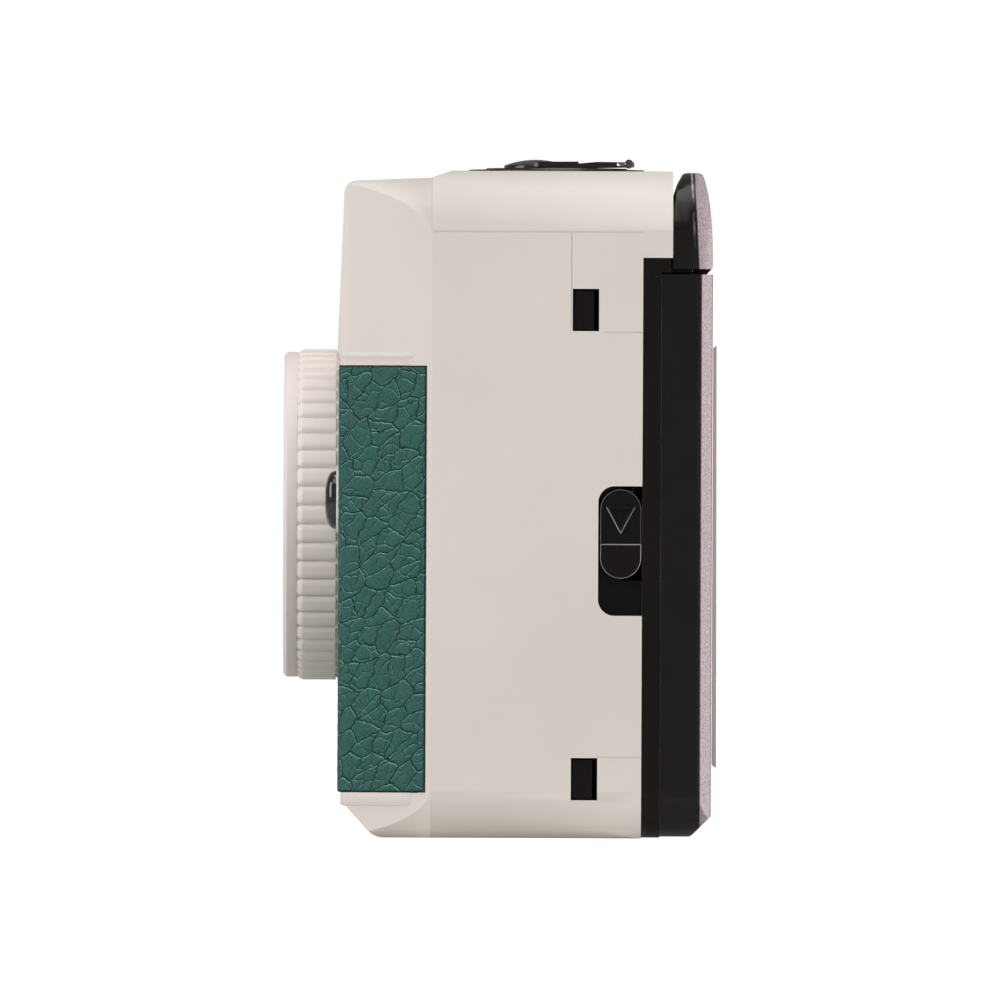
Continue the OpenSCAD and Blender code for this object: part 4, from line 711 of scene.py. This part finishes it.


# The ring's cream is painted lighter than the housing's, to make up for the shade that the body casts on it.
ring_cream_painted_light = moulded("ring_cream_abs", (239, 229, 223), (233, 222, 216), (0.4, 0.52))
rib_count, rib_top, rib_floor = 54, 15.27 * mm, 14.92 * mm
ring_front, flange_back, rib_back, ring_back = -19.9 * mm, -18.62 * mm, -15.06 * mm, -14.78 * mm
ring_body = turned("ring_body", [
    (12.28 * mm, ring_back), (15.05 * mm, ring_back), (15.05 * mm, rib_back), (rib_floor, rib_back),
    (rib_floor, flange_back), (15.0 * mm, flange_back - 0.01 * mm), (15.0 * mm, ring_front + 0.3 * mm),
    (14.7 * mm, ring_front), (13.9 * mm, ring_front), (13.48 * mm, ring_front + 0.42 * mm),
    (13.48 * mm, flange_back), (12.28 * mm, flange_back)], 192, 0.08 * mm)


def rib_form(name, foot, top, half_wide, front, back, nose):
    """One rib along Z, from back to front: rounded across, and rising from nothing over its nose."""
    shape = bmesh.new()
    across = np.sin(np.linspace(-math.pi / 2, math.pi / 2, 11))
    rows = []
    for s in (*np.linspace(0, 1, 8), (back - front) / nose):
        rise = 0.5 - 0.5 * math.cos(math.pi * min(s, 1))
        crown = [(foot + (top - foot) * (0.04 + 0.96 * rise) * (1 - abs(u) ** 5), half_wide * u * (0.8 + 0.2 * rise))
                 for u in across]
        section = [(foot - 0.3 * mm, -half_wide * 0.8)] + crown + [(foot - 0.3 * mm, half_wide * 0.8)]
        rows.append([shape.verts.new((r, t, front + s * nose)) for r, t in section])
    for a, b in zip(rows, rows[1:]):
        for j in range(len(a)):
            i = (j + 1) % len(a)
            shape.faces.new((a[j], a[i], b[i], b[j]))
    shape.faces.new(rows[0])
    shape.faces.new(rows[-1])
    part = bpy.data.objects.new(name, smoothed(shape, name, 50))
    scene.collection.objects.link(part)
    return part


rib = rib_form("rib", rib_floor, rib_top, 0.84 * mm, 0.14 * mm - flange_back, -rib_back, -0.7 * mm)
round_copies = copies_round()
ribs = grown("ribs", round_copies, Part=rib, Count=rib_count, Turn=(math.pi / 2, 0, 0),
             Centre=(0, 0, lens_height), Finish=ring_cream_painted_light)
bpy.data.objects.remove(rib)
ring_body.transform(Matrix.Translation((0, 0, lens_height)))
add_piece("ring_body", ring_body, ring_cream_painted_light, "ring", "flash_ring")
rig.slot(add_piece("ring_ribs", ribs, ring_cream_painted_light, "ring"), "ring_plastic")

# ---- Ready lamp ----
# A dark tinted acrylic pill that glows when the flash is charged, pushed through the leather.
# Its domed face is polished in the mould.
tinted, tree, shader, place = new_material("tinted_acrylic")
tree.links.new(blended(tree, spread(tree, noise(tree, place, 300), 0.3, 0.7), linear(30, 18, 18), linear(22, 13, 14)),
               shader.inputs["Base Color"])
tree.links.new(spread(tree, noise(tree, place, 700), 0.3, 0.7, 0.06, 0.12), shader.inputs["Roughness"])
shader.inputs["Coat Weight"].default_value = 0.6
shader.inputs["Coat Roughness"].default_value = 0.04
lamp_place, lamp_round, lamp_straight, lamp_tip = (18.8 * mm, 30.75 * mm), 1.5 * mm, 1.2 * mm, -16.06 * mm


def pill_stack(name, levels):
    """A pill-shaped solid from front to back: each level is a distance out and a place along Y."""
    shape = bmesh.new()
    steps = 48
    rings = []
    for out, y in levels:
        ring = []
        for k in range(steps):
            a = 2 * math.pi * (k + 0.5) / steps
            rise = math.copysign(lamp_straight * min(1, out / lamp_round), math.sin(a))
            x, z = out * math.cos(a), rise + out * math.sin(a)
            ring.append(shape.verts.new((lamp_place[0] + x, y, lamp_place[1] + z)))
        rings.append(ring)
    for a, b in zip(rings, rings[1:]):
        for k in range(steps):
            j = (k + 1) % steps
            shape.faces.new((a[k], a[j], b[j], b[k]))
    shape.faces.new(rings[0])
    shape.faces.new(rings[-1][::-1])
    return smoothed(shape, name, 50)


dome_foot = -14.95 * mm
dome = [(lamp_round * math.sin(t) ** 0.75, dome_foot + (lamp_tip - dome_foot) * math.cos(t) ** 0.75)
        for t in np.linspace(0.05, math.pi / 2, 12)]
add_piece("ready_lamp_pill", pill_stack("ready_lamp_pill", dome + [(lamp_round, -12 * mm)]), tinted,
          nodes["ready_lamp"]["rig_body"], "ready_lamp")
collar_round = lamp_round + 0.36 * mm
collar = [(lamp_round + 0.3 * mm, -15.0 * mm), (collar_round, -14.94 * mm), (collar_round, -13.9 * mm)]
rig.slot(add_piece("ready_lamp_collar", pill_stack("ready_lamp_collar", collar), cover_cream,
                  nodes["front_cover"]["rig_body"]), "cream_plastic")

# ---- Lens ----
# Two acrylic elements in a black barrel, behind a stepped cone that stops stray light.
# The front element has a thin violet coating.
stepped_black = moulded("cone_black_abs", (24, 22, 22), (19, 18, 18), (0.5, 0.62), 3600, 0.01 * mm, 0.4)
eased("lens_bezel", 0.08 * mm, stepped_black, "lens_cone")
dress("lens_barrel", stepped_black)


def clear(name, tint, rough=(0.02, 0.05), coat=None):
    """Clear moulded acrylic with a faint tint and the smallest unevenness in its polish."""
    material, tree, shader, place = new_material(name)
    shader.inputs["Transmission Weight"].default_value = 1
    shader.inputs["IOR"].default_value = 1.49
    tree.links.new(blended(tree, noise(tree, place, 80), linear(*tint), linear(250, 250, 250)),
                   shader.inputs["Base Color"])
    tree.links.new(spread(tree, noise(tree, place, 500), 0.3, 0.7, *rough), shader.inputs["Roughness"])
    if coat:
        shader.inputs["Coat Weight"].default_value = 1
        shader.inputs["Coat Tint"].default_value = linear(*coat)
        shader.inputs["Coat IOR"].default_value = 1.8
    return material, tree, shader, place


coated = clear("coated_lens", (236, 238, 250), coat=(150, 120, 230))[0]
for name in ("front_lens", "rear_lens"):
    polished = nodes[name].data.copy()
    polished.shade_smooth()
    polished.set_sharp_from_angle(angle=math.radians(35))
    add_piece(name + "_polished", polished, coated, nodes[name]["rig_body"], name)

# ---- Shutter and release ----
# A stamped plate carries the blade on a riveted post; the button's stem tips a steel lever that
# kicks the blade past its hairpin spring. The button is polished black plastic.


def metal(name, colour, tint, rough, brush=(1, 1, 14), lines=900):
    """Bare metal with fine drawn or stamped lines across it."""
    material, tree, shader, place = new_material(name)
    shader.inputs["Metallic"].default_value = 1
    streaks = spread(tree, noise(tree, place, lines, 4, 0.6, brush), 0.35, 0.65)
    tree.links.new(blended(tree, streaks, linear(*colour), linear(*tint)), shader.inputs["Base Color"])
    tree.links.new(spread(tree, noise(tree, place, lines * 0.6, 3, 0.6, brush), 0.3, 0.7, rough - 0.07, rough + 0.08),
                   shader.inputs["Roughness"])
    relief(tree, shader, noise(tree, place, lines * 2, 2, 0.6, brush), 0.004 * mm, 0.4)
    return material


steel = metal("stamped_steel", (196, 196, 198), (168, 169, 172), 0.32)
blackened = metal("blackened_steel", (46, 46, 48), (34, 34, 36), 0.42)
for name in ("shutter_plate", "release_lever", "hinge_pin", "battery_door_pin", "strap_bar", "crank_pin"):
    dress(name, steel)
dress("shutter_blade", blackened)
gloss_black = moulded("gloss_black_abs", (18, 15, 15), (13, 11, 11), (0.12, 0.2), 2400, 0.003 * mm, 0.2, 0.4)


flange_foot = 57.7 * mm


def clear_of_wheel(x, y, z):
    """A point of the button, whose flange is raised at its foot to stop just above the thumb wheel."""
    return x, y, z + 0.03 * mm if abs(z - flange_foot) < 0.05 * mm else z


eased("shutter_button", 0.1 * mm, gloss_black, "shutter_button_cap", reshape=clear_of_wheel)


def coil_tree():
    """A tree for a wire coil along Z, from a spiral and a round wire."""
    group, add, link, given = geometry_tree(
        "wire_coil", Foot_radius="Float", Top_radius="Float", Wire="Float", Height="Float", Turns="Float",
        Turn="Vector", Foot="Vector", Finish="Material")
    spiral, wire = add("GeometryNodeCurveSpiral"), add("GeometryNodeCurvePrimitiveCircle")
    sweep = add("GeometryNodeCurveToMesh")
    spiral.inputs["Resolution"].default_value = 22
    wire.inputs["Resolution"].default_value = 10
    sweep.inputs["Fill Caps"].default_value = True
    for socket, target in (("Turns", "Rotations"), ("Foot_radius", "Start Radius"),
                           ("Top_radius", "End Radius"), ("Height", "Height")):
        link(given[socket], spiral.inputs[target])
    link(given["Wire"], wire.inputs["Radius"])
    link(spiral.outputs[0], sweep.inputs["Curve"])
    link(wire.outputs["Curve"], sweep.inputs["Profile Curve"])
    move = add("GeometryNodeTransform")
    link(sweep.outputs[0], move.inputs["Geometry"])
    link(given["Turn"], move.inputs["Rotation"])
    link(given["Foot"], move.inputs["Translation"])
    return ended(group, move.outputs[0], given["Finish"])


wire_coil = coil_tree()


def spring(node, name, radius, wire, turns, top=None, turn=(0, 0, 0), metal=steel):
    """A wound spring in the place of a CAD node's coil, as long as the node's box says."""
    low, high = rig.box(node)
    middle = (low + high) / 2
    along = 1 if turn[0] else 2
    foot = middle.copy()
    foot[along] = (high if turn[0] else low)[along] + (-wire if turn[0] else wire)
    mesh = grown(name, wire_coil, Foot_radius=radius, Top_radius=top or radius, Wire=wire,
                 Height=high[along] - low[along] - 2 * wire, Turns=float(turns), Turn=turn,
                 Foot=tuple(foot), Finish=metal)
    mesh.shade_smooth()
    return add_piece(name, mesh, metal, nodes[node]["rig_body"], node)


spring("blade_spring", "blade_hairpin", 1.15 * mm, 0.07 * mm, 2, turn=(math.pi / 2, 0, 0))
button_coil = spring("button_spring", "button_coil", 0.38 * mm, 0.09 * mm, 5)
lever_dip = 0.32 * mm  # how far the lever sinks over its coil


def pressed_flat(coil, joint, travel, fixed):
    """Lets a coil shorten by travel towards its fixed end: min is its foot, max its head."""
    heights = [v.co.z for v in coil.data.vertices]
    long = max(heights) - min(heights)
    middle = sum((v.co for v in coil.data.vertices), Vector()) / len(coil.data.vertices)
    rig.squash(coil, joint, (0, 0, 1), (middle.x, middle.y, fixed(heights)), (long - travel) / long)


pressed_flat(button_coil, "release_lever_pivot", lever_dip, min)

# ---- Viewfinder and upper back ----
# Clear window and eyepiece on a black tunnel, and a black panel screwed over the back of the
# deck. The panel's back is spark-eroded to a coarse matte, its sides are smooth.


black, black_tint = linear(17, 11, 9), linear(12, 8, 7)
# Heights over which the painted glint on the panel's corner fades in.
glint_from, glint_full = 53.6 * mm, 56 * mm


def half_textured(name, border, lean=0.0, ledge=None, rubbed=0.0):
    """Black plastic, smooth up to a plane across Y and coarsely eroded behind it.

    The plane leans by lean for each step up; the ledge, where there is one, is a painted shadow line
    with a painted highlight on the lip behind it. The glint strength is how bright a painted glint is
    along the smooth side's corner. A pale painted sheen lies on the eroded grain only where it faces the
    latch side, and the rest stays black.
    """
    material, tree, shader, place = new_material(name)
    apart = tree.nodes.new("ShaderNodeSeparateXYZ")
    tree.links.new(place, apart.inputs[0])
    leaned = tree.nodes.new("ShaderNodeMath")
    leaned.operation = "MULTIPLY_ADD"
    leaned.inputs[1].default_value = lean
    tree.links.new(apart.outputs["Z"], leaned.inputs[0])
    tree.links.new(apart.outputs["Y"], leaned.inputs[2])
    fade = 0.05 * mm
    behind = spread(tree, leaned.outputs[0], border - fade, border + fade)
    grit = noise(tree, place, 8200, 2, 0.6)
    smooth = blended(tree, noise(tree, place, 90), black, black_tint)
    # A painted glint: a pale strip on the smooth corner just before the border, broken by noise and fading in towards
    # the top.
    if rubbed:
        corner, glint_breaks = leaned.outputs[0], noise(tree, place, 700, 3, 0.6, (1, 1, 0.2))
        strip = combined(tree, "MULTIPLY", spread(tree, corner, border - 0.42 * mm, border - 0.32 * mm),
                         spread(tree, corner, border - 0.26 * mm, border - 0.16 * mm, 1, 0))
        broken_glint = combined(tree, "MULTIPLY", spread(tree, glint_breaks, 0.4, 0.6, 0, rubbed),
                           spread(tree, apart.outputs["Z"], glint_from, glint_full))
        smooth = blended(tree, combined(tree, "MULTIPLY", strip, broken_glint), smooth, linear(196, 186, 184))
    grains = spread(tree, grit, 0.38, 0.64)
    # A pale painted sheen on the eroded grain, like the one grazing light from behind gives it.
    painted_sheen = blended(tree, grains, linear(134, 121, 123), linear(184, 169, 171))
    # At the ledge: a painted shadow line, and behind it a painted highlight on the lip.
    if ledge:
        lip = blended(tree, spread(tree, apart.outputs["Y"], ledge, ledge + 0.03 * mm), painted_sheen, linear(62, 54, 55))
        painted_sheen = blended(tree, spread(tree, apart.outputs["Y"], ledge + 0.07 * mm, ledge + 0.1 * mm), lip,
                        linear(236, 224, 223))
    # The painted sheen is kept to faces turned towards the latch side; elsewhere the grain stays black.
    facing = tree.nodes.new("ShaderNodeSeparateXYZ")
    tree.links.new(tree.nodes.new("ShaderNodeTexCoord").outputs["Normal"], facing.inputs[0])
    black_grain = blended(tree, grains, linear(10, 8, 7), linear(22, 19, 18))
    eroded = blended(tree, spread(tree, facing.outputs["X"], 0.02, 0.12), black_grain, painted_sheen)
    tree.links.new(blended(tree, behind, smooth, eroded), shader.inputs["Base Color"])
    shine = spread(tree, noise(tree, place, 220, 4), 0.3, 0.7, 0.2, 0.34)
    dull = spread(tree, grit, 0.3, 0.7, 0.45, 0.62)
    mix = tree.nodes.new("ShaderNodeMix")
    for value, socket in ((behind, 0), (shine, 2), (dull, 3)):
        tree.links.new(value, mix.inputs[socket])
    tree.links.new(mix.outputs[0], shader.inputs["Roughness"])
    shader.inputs["Specular IOR Level"].default_value = 0.3
    relief(tree, shader, combined(tree, "MULTIPLY", grit, behind), 0.04 * mm, 0.6)
    return material


window_clear = clear("clear_acrylic", (244, 248, 250))[0]
dress("finder_window", window_clear)
dress("eyepiece_lens", window_clear)
dress("finder_tunnel", stepped_black)
# The panel's smooth corner carries a painted glint.
panel_black = half_textured("upper_panel_abs", 20.72 * mm, lean=0.05, rubbed=1.0)
panel_foot, panel_head, head_cut = 51.9 * mm, 60.68 * mm, 60.4 * mm
end_start, end_round = 17.0 * mm, 2.5 * mm
face_stays, back_starts, bend_from = 17 * mm, 18 * mm, 56.8 * mm


def drawn_panel(x, y, z):
    """A point of the upper panel with the head drawn up and crowned and the ends rounded."""
    if abs(x) > 50 * mm and y > end_start:
        turn = min(1, (y - end_start) / end_round)
        x -= math.copysign(end_round * (1 - math.sqrt(1 - turn * turn)) * 0.75, x)
    up = max(0, (z - panel_foot) / (head_cut - panel_foot))
    if y < face_stays:
        straight = 0.65 * mm * max(0, (z - bend_from) / (head_cut - bend_from))
        y += (0.85 * mm * up ** 5 - straight) * min(1, (face_stays - y) / (0.6 * mm))
    elif y > back_starts:
        straight = 0.25 * mm * min(1, up / 0.62) + 0.59 * mm * max(0, (up - 0.62) / 0.38)
        y += (straight - 0.84 * mm * up ** 2.6) * min(1, (y - back_starts) / (0.4 * mm))
    crown = 0.55 * mm * min(1, abs(y - 17.45 * mm) / (1.25 * mm)) ** 4
    lift = max(0, (z - 58 * mm) / (head_cut - 58 * mm))
    return x, y, z + (panel_head - head_cut) * min(lift, 1) - crown * max(0, lift) ** 2


panel_slices = [((0, 0, z * mm), (0, 0, 1)) for z in np.arange(53, 60.3, 0.45)]
panel_slices += [((0, y * mm, 0), (0, 1, 0)) for y in np.arange(16.3, 19.3, 0.2)]
eased("upper_back_panel", 0.24 * mm, panel_black, "upper_back_moulding", 3, slices=panel_slices, reshape=drawn_panel)
# A black lip under the panel keeps light out of the seam above the door.
seam_lip = block("seam_lip", (108 * mm, 2.3 * mm, 0.36 * mm), (0, 16.35 * mm, panel_foot - 0.16 * mm), 0.08 * mm)
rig.slot(add_piece("seam_lip", seam_lip, satin_black, nodes["upper_back_panel"]["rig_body"]), "black_plastic")
# Foam ends fill the seal's groove where it runs out through the frame's rim.
for name, side in (("foam_end_left", -1), ("foam_end_right", 1)):
    plug = block(name, (2 * mm, 0.46 * mm, 0.66 * mm), (side * 53.85 * mm, 14.45 * mm, 50.85 * mm), 0.04 * mm)
    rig.slot(add_piece(name, plug, satin_black, nodes["chassis"]["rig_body"]), "black_plastic")

# ---- Back door ----
# The hinged door, smooth black on its sides and coarsely textured on its back, with a grip
# along its opening edge. A foam strip and the sprung film plate sit inside it.
# The door's textured back carries the painted sheen where it faces the latch side, with a painted shadow line and a
# painted highlight at its ledge.
door_black = half_textured("door_abs", 18.35 * mm, ledge=19.26 * mm)
# Its rounded edges carry the painted highlight, except on its back.
eased("back_door", 0.14 * mm, door_black, "door_moulding", 3, edge=black_edge_highlight,
      plain=lambda x, y, z: y > 16 * mm)
foam, tree, shader, place = new_material("black_foam")
pores = noise(tree, place, 6000, 3, 0.7)
tree.links.new(blended(tree, spread(tree, pores, 0.35, 0.65), linear(16, 16, 16), linear(48, 47, 46)),
               shader.inputs["Base Color"])
shader.inputs["Roughness"].default_value = 0.95
relief(tree, shader, pores, 0.15 * mm, 1)
dress("light_seal", foam)
eased("pressure_plate", 0.06 * mm, blackened, "film_plate_stamping")
dress("pressure_spring", metal("spring_leaf", (190, 186, 176), (160, 156, 148), 0.28, (1, 14, 1)))

# ---- Latch ----
# A pill-shaped slider in a pocket of the housing: the upper half is sunk and carries a raised
# arrow outline, the lower half is the thumb rest. Its edges carry a painted highlight, and a coil spring
# above it draws it back up.
# A pale grey for the slider's rounded edges: a painted highlight.
latch_edge_highlight = moulded("thumbed_black_abs", (172, 166, 162), (126, 120, 117), (0.2, 0.3), 5200, 0.004 * mm, 0.25, 0.5)
arrow_y, arrow_tip, arrow_head, arrow_half = 11.05 * mm, 27.8 * mm, 30.2 * mm, 1.3 * mm


def unhighlighted(x, y, z):
    """True on the arrow's head and on its inner edges, which get no painted highlight."""
    half_here = arrow_half * (z - arrow_tip) / (arrow_head - arrow_tip)
    in_arrow = arrow_tip < z < arrow_head + 0.1 * mm and abs(y - arrow_y) < arrow_half
    return in_arrow and (abs(y - arrow_y) < half_here - 0.17 * mm or z > arrow_head - 0.1 * mm)


eased("latch_slider", 0.11 * mm, satin_black, "latch_slide", 3, edge=latch_edge_highlight, plain=unhighlighted)
spring("latch_spring", "latch_coil", 0.3 * mm, 0.08 * mm, 8)

# ---- Rewind ----
# A thin black disc with a low hub and a folding lever, on a sleeve and fork that lift together.
knob_black = moulded("knob_black_abs", (34, 26, 26), (24, 18, 18), (0.16, 0.28), 2600, 0.004 * mm, 0.25, 0.5)
eased("rewind_knob", 0.06 * mm, knob_black, "rewind_disc")
eased("crank_lever", 0.06 * mm, knob_black, "crank_arm")
for name in ("rewind_sleeve", "rewind_fork"):
    dress(name, satin_black)

# ---- Film advance and counter ----
# The thumb wheel with its ratchet drives the take-up spool; the film turns the sprocket, and the
# sprocket turns the dial under its window.
eased("thumb_wheel", 0.08 * mm, satin_black, "thumb_wheel_moulding")
for name in ("take_up_spool", "sprocket", "rewind_button"):
    dress(name, satin_black)
dress("anti_return_pawl", steel)
dial_white = moulded("dial_white", (236, 234, 228), (228, 226, 220), (0.35, 0.45), 2600, 0.004 * mm, 0.3)
dress("counter_dial", dial_white)
dress("counter_window", window_clear)
release_coil = spring("rewind_button_spring", "release_coil", 1.4 * mm, 0.15 * mm, 6)
rewind_button_travel = 1.5 * mm
pressed_flat(release_coil, "rewind_button_press", rewind_button_travel, max)

# ---- Battery ----
# A hinged door under the base with a brass contact, and a conical spring at the tube's head.
brass = metal("brass_sheet", (214, 178, 104), (190, 154, 84), 0.3)
eased("battery_door", 0.08 * mm, cream, "battery_door_moulding")
dress("door_contact", brass)
spring("battery_spring", "battery_coil", 1.6 * mm, 0.25 * mm, 4, top=3.4 * mm)

# ---- Flash ----
# A ribbed window in front of a plated reflector and glass tube, a capacitor and a small board.
flash_clear, tree, shader, place = clear("flash_acrylic", (246, 248, 248), (0.08, 0.14))
bars = tree.nodes.new("ShaderNodeTexWave")
bars.bands_direction = "Z"
bars.inputs["Scale"].default_value = 330
tree.links.new(place, bars.inputs["Vector"])
relief(tree, shader, bars.outputs["Fac"], 0.12 * mm, 0.8)
eased("flash_window", 0.12 * mm, flash_clear, "flash_pane")
dress("flash_reflector", metal("plated_reflector", (228, 228, 230), (206, 207, 210), 0.14))
dress("flash_tube", clear("tube_glass", (240, 244, 248))[0])
can, tree, shader, place = new_material("capacitor_sleeve")
tree.links.new(blended(tree, noise(tree, place, 120), linear(30, 34, 60), linear(22, 25, 48)),
               shader.inputs["Base Color"])
tree.links.new(spread(tree, noise(tree, place, 400), 0.3, 0.7, 0.25, 0.4), shader.inputs["Roughness"])
dress("flash_capacitor", can)
board, tree, shader, place = new_material("board_lacquer")
tracks = tree.nodes.new("ShaderNodeTexBrick")
tracks.inputs["Scale"].default_value = 260
tracks.inputs["Color1"].default_value = linear(38, 92, 58)
tracks.inputs["Color2"].default_value = linear(34, 84, 52)
tracks.inputs["Mortar"].default_value = linear(86, 130, 78)
tree.links.new(place, tracks.inputs["Vector"])
tree.links.new(tracks.outputs["Color"], shader.inputs["Base Color"])
tree.links.new(spread(tree, noise(tree, place, 300), 0.3, 0.7, 0.3, 0.45), shader.inputs["Roughness"])
dress("circuit_board", board)

# ---- Screws ----
# Self-tapping cross-head screws through the base and the inner frame into the mouldings.
dress("case_screws", metal("screw_steel", (150, 148, 146), (120, 118, 116), 0.36))

# ---- Floor and light ----
# A pale seamless floor and five soft lamps: one at the latch side, one over the deck, one from the
# lens side, a wide one behind the door, kept lower than the deck, and a small one for a glint.


def fill_white(name, colour, strength, lit):
    """A pale stage surface that the camera sees near white, though it lights the object less."""
    material, tree, shader, place = new_material(name)
    tree.links.new(blended(tree, noise(tree, place, 2), linear(*colour), linear(*colour)), shader.inputs["Base Color"])
    shader.inputs["Roughness"].default_value = 0.8
    shader.inputs["Emission Color"].default_value = (1, 1, 1, 1)
    path = tree.nodes.new("ShaderNodeLightPath")
    tree.links.new(spread(tree, path.outputs["Is Camera Ray"], 0, 1, lit, strength), shader.inputs["Emission Strength"])
    return material


floor_mesh = bpy.data.meshes.new("studio_floor")
rim = [(3 * math.cos(a), 3 * math.sin(a), 0) for a in np.linspace(0, 2 * math.pi, 96, endpoint=False)]
floor_mesh.from_pydata(rim, [], [list(range(96))])
floor_mesh.materials.append(fill_white("floor_paper", (182, 178, 174), 1.0, 0.22))
floor = bpy.data.objects.new("studio_floor", floor_mesh)
floor.location.z = -0.02 * mm
scene.collection.objects.link(floor)
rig.stage(floor)


def lamp(name, place, aim, size, power, tall=None):
    """A soft lamp at place that points at aim, square unless it is given its own height."""
    light = bpy.data.lights.new(name, "AREA")
    light.shape = "RECTANGLE"
    light.size, light.size_y, light.energy = size, tall or size, power
    holder = bpy.data.objects.new(name, light)
    holder.location = place
    holder.rotation_euler = (Vector(aim) - Vector(place)).to_track_quat("-Z", "Y").to_euler()
    scene.collection.objects.link(holder)


middle = (0.03, 0, 0.03)
lamp("lamp_side", (1.0, -0.35, 1.0), middle, 0.8, 4.0)
lamp("lamp_deck", (0.16, 0.05, 0.95), middle, 0.6, 3.4)
lamp("lamp_front", (0.6, -1.0, 0.35), middle, 0.6, 4.9)
lamp("lamp_back", (0.12, 0.9, 0.032), (0.05, 0.02, 0.032), 0.35, 7, tall=0.05)
lamp("lamp_glint", (0.9, 0.42, 0.2), (0.055, 0.0175, 0.056), 0.05, 0.12)

world = bpy.data.worlds.new("studio")
world.use_nodes = True
scene.world = world
sky = world.node_tree
backdrop = sky.nodes["Background"]
backdrop.inputs["Color"].default_value = (1, 1, 1, 1)
path = sky.nodes.new("ShaderNodeLightPath")
sky.links.new(spread(sky, path.outputs["Is Camera Ray"], 0, 1, 0.285, 1.0), backdrop.inputs["Strength"])

with open("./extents.json", "w") as sizes:
    json.dump({"cad": [list(c) for c in cad_box], "visual": [list(c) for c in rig.bounds()]}, sizes)
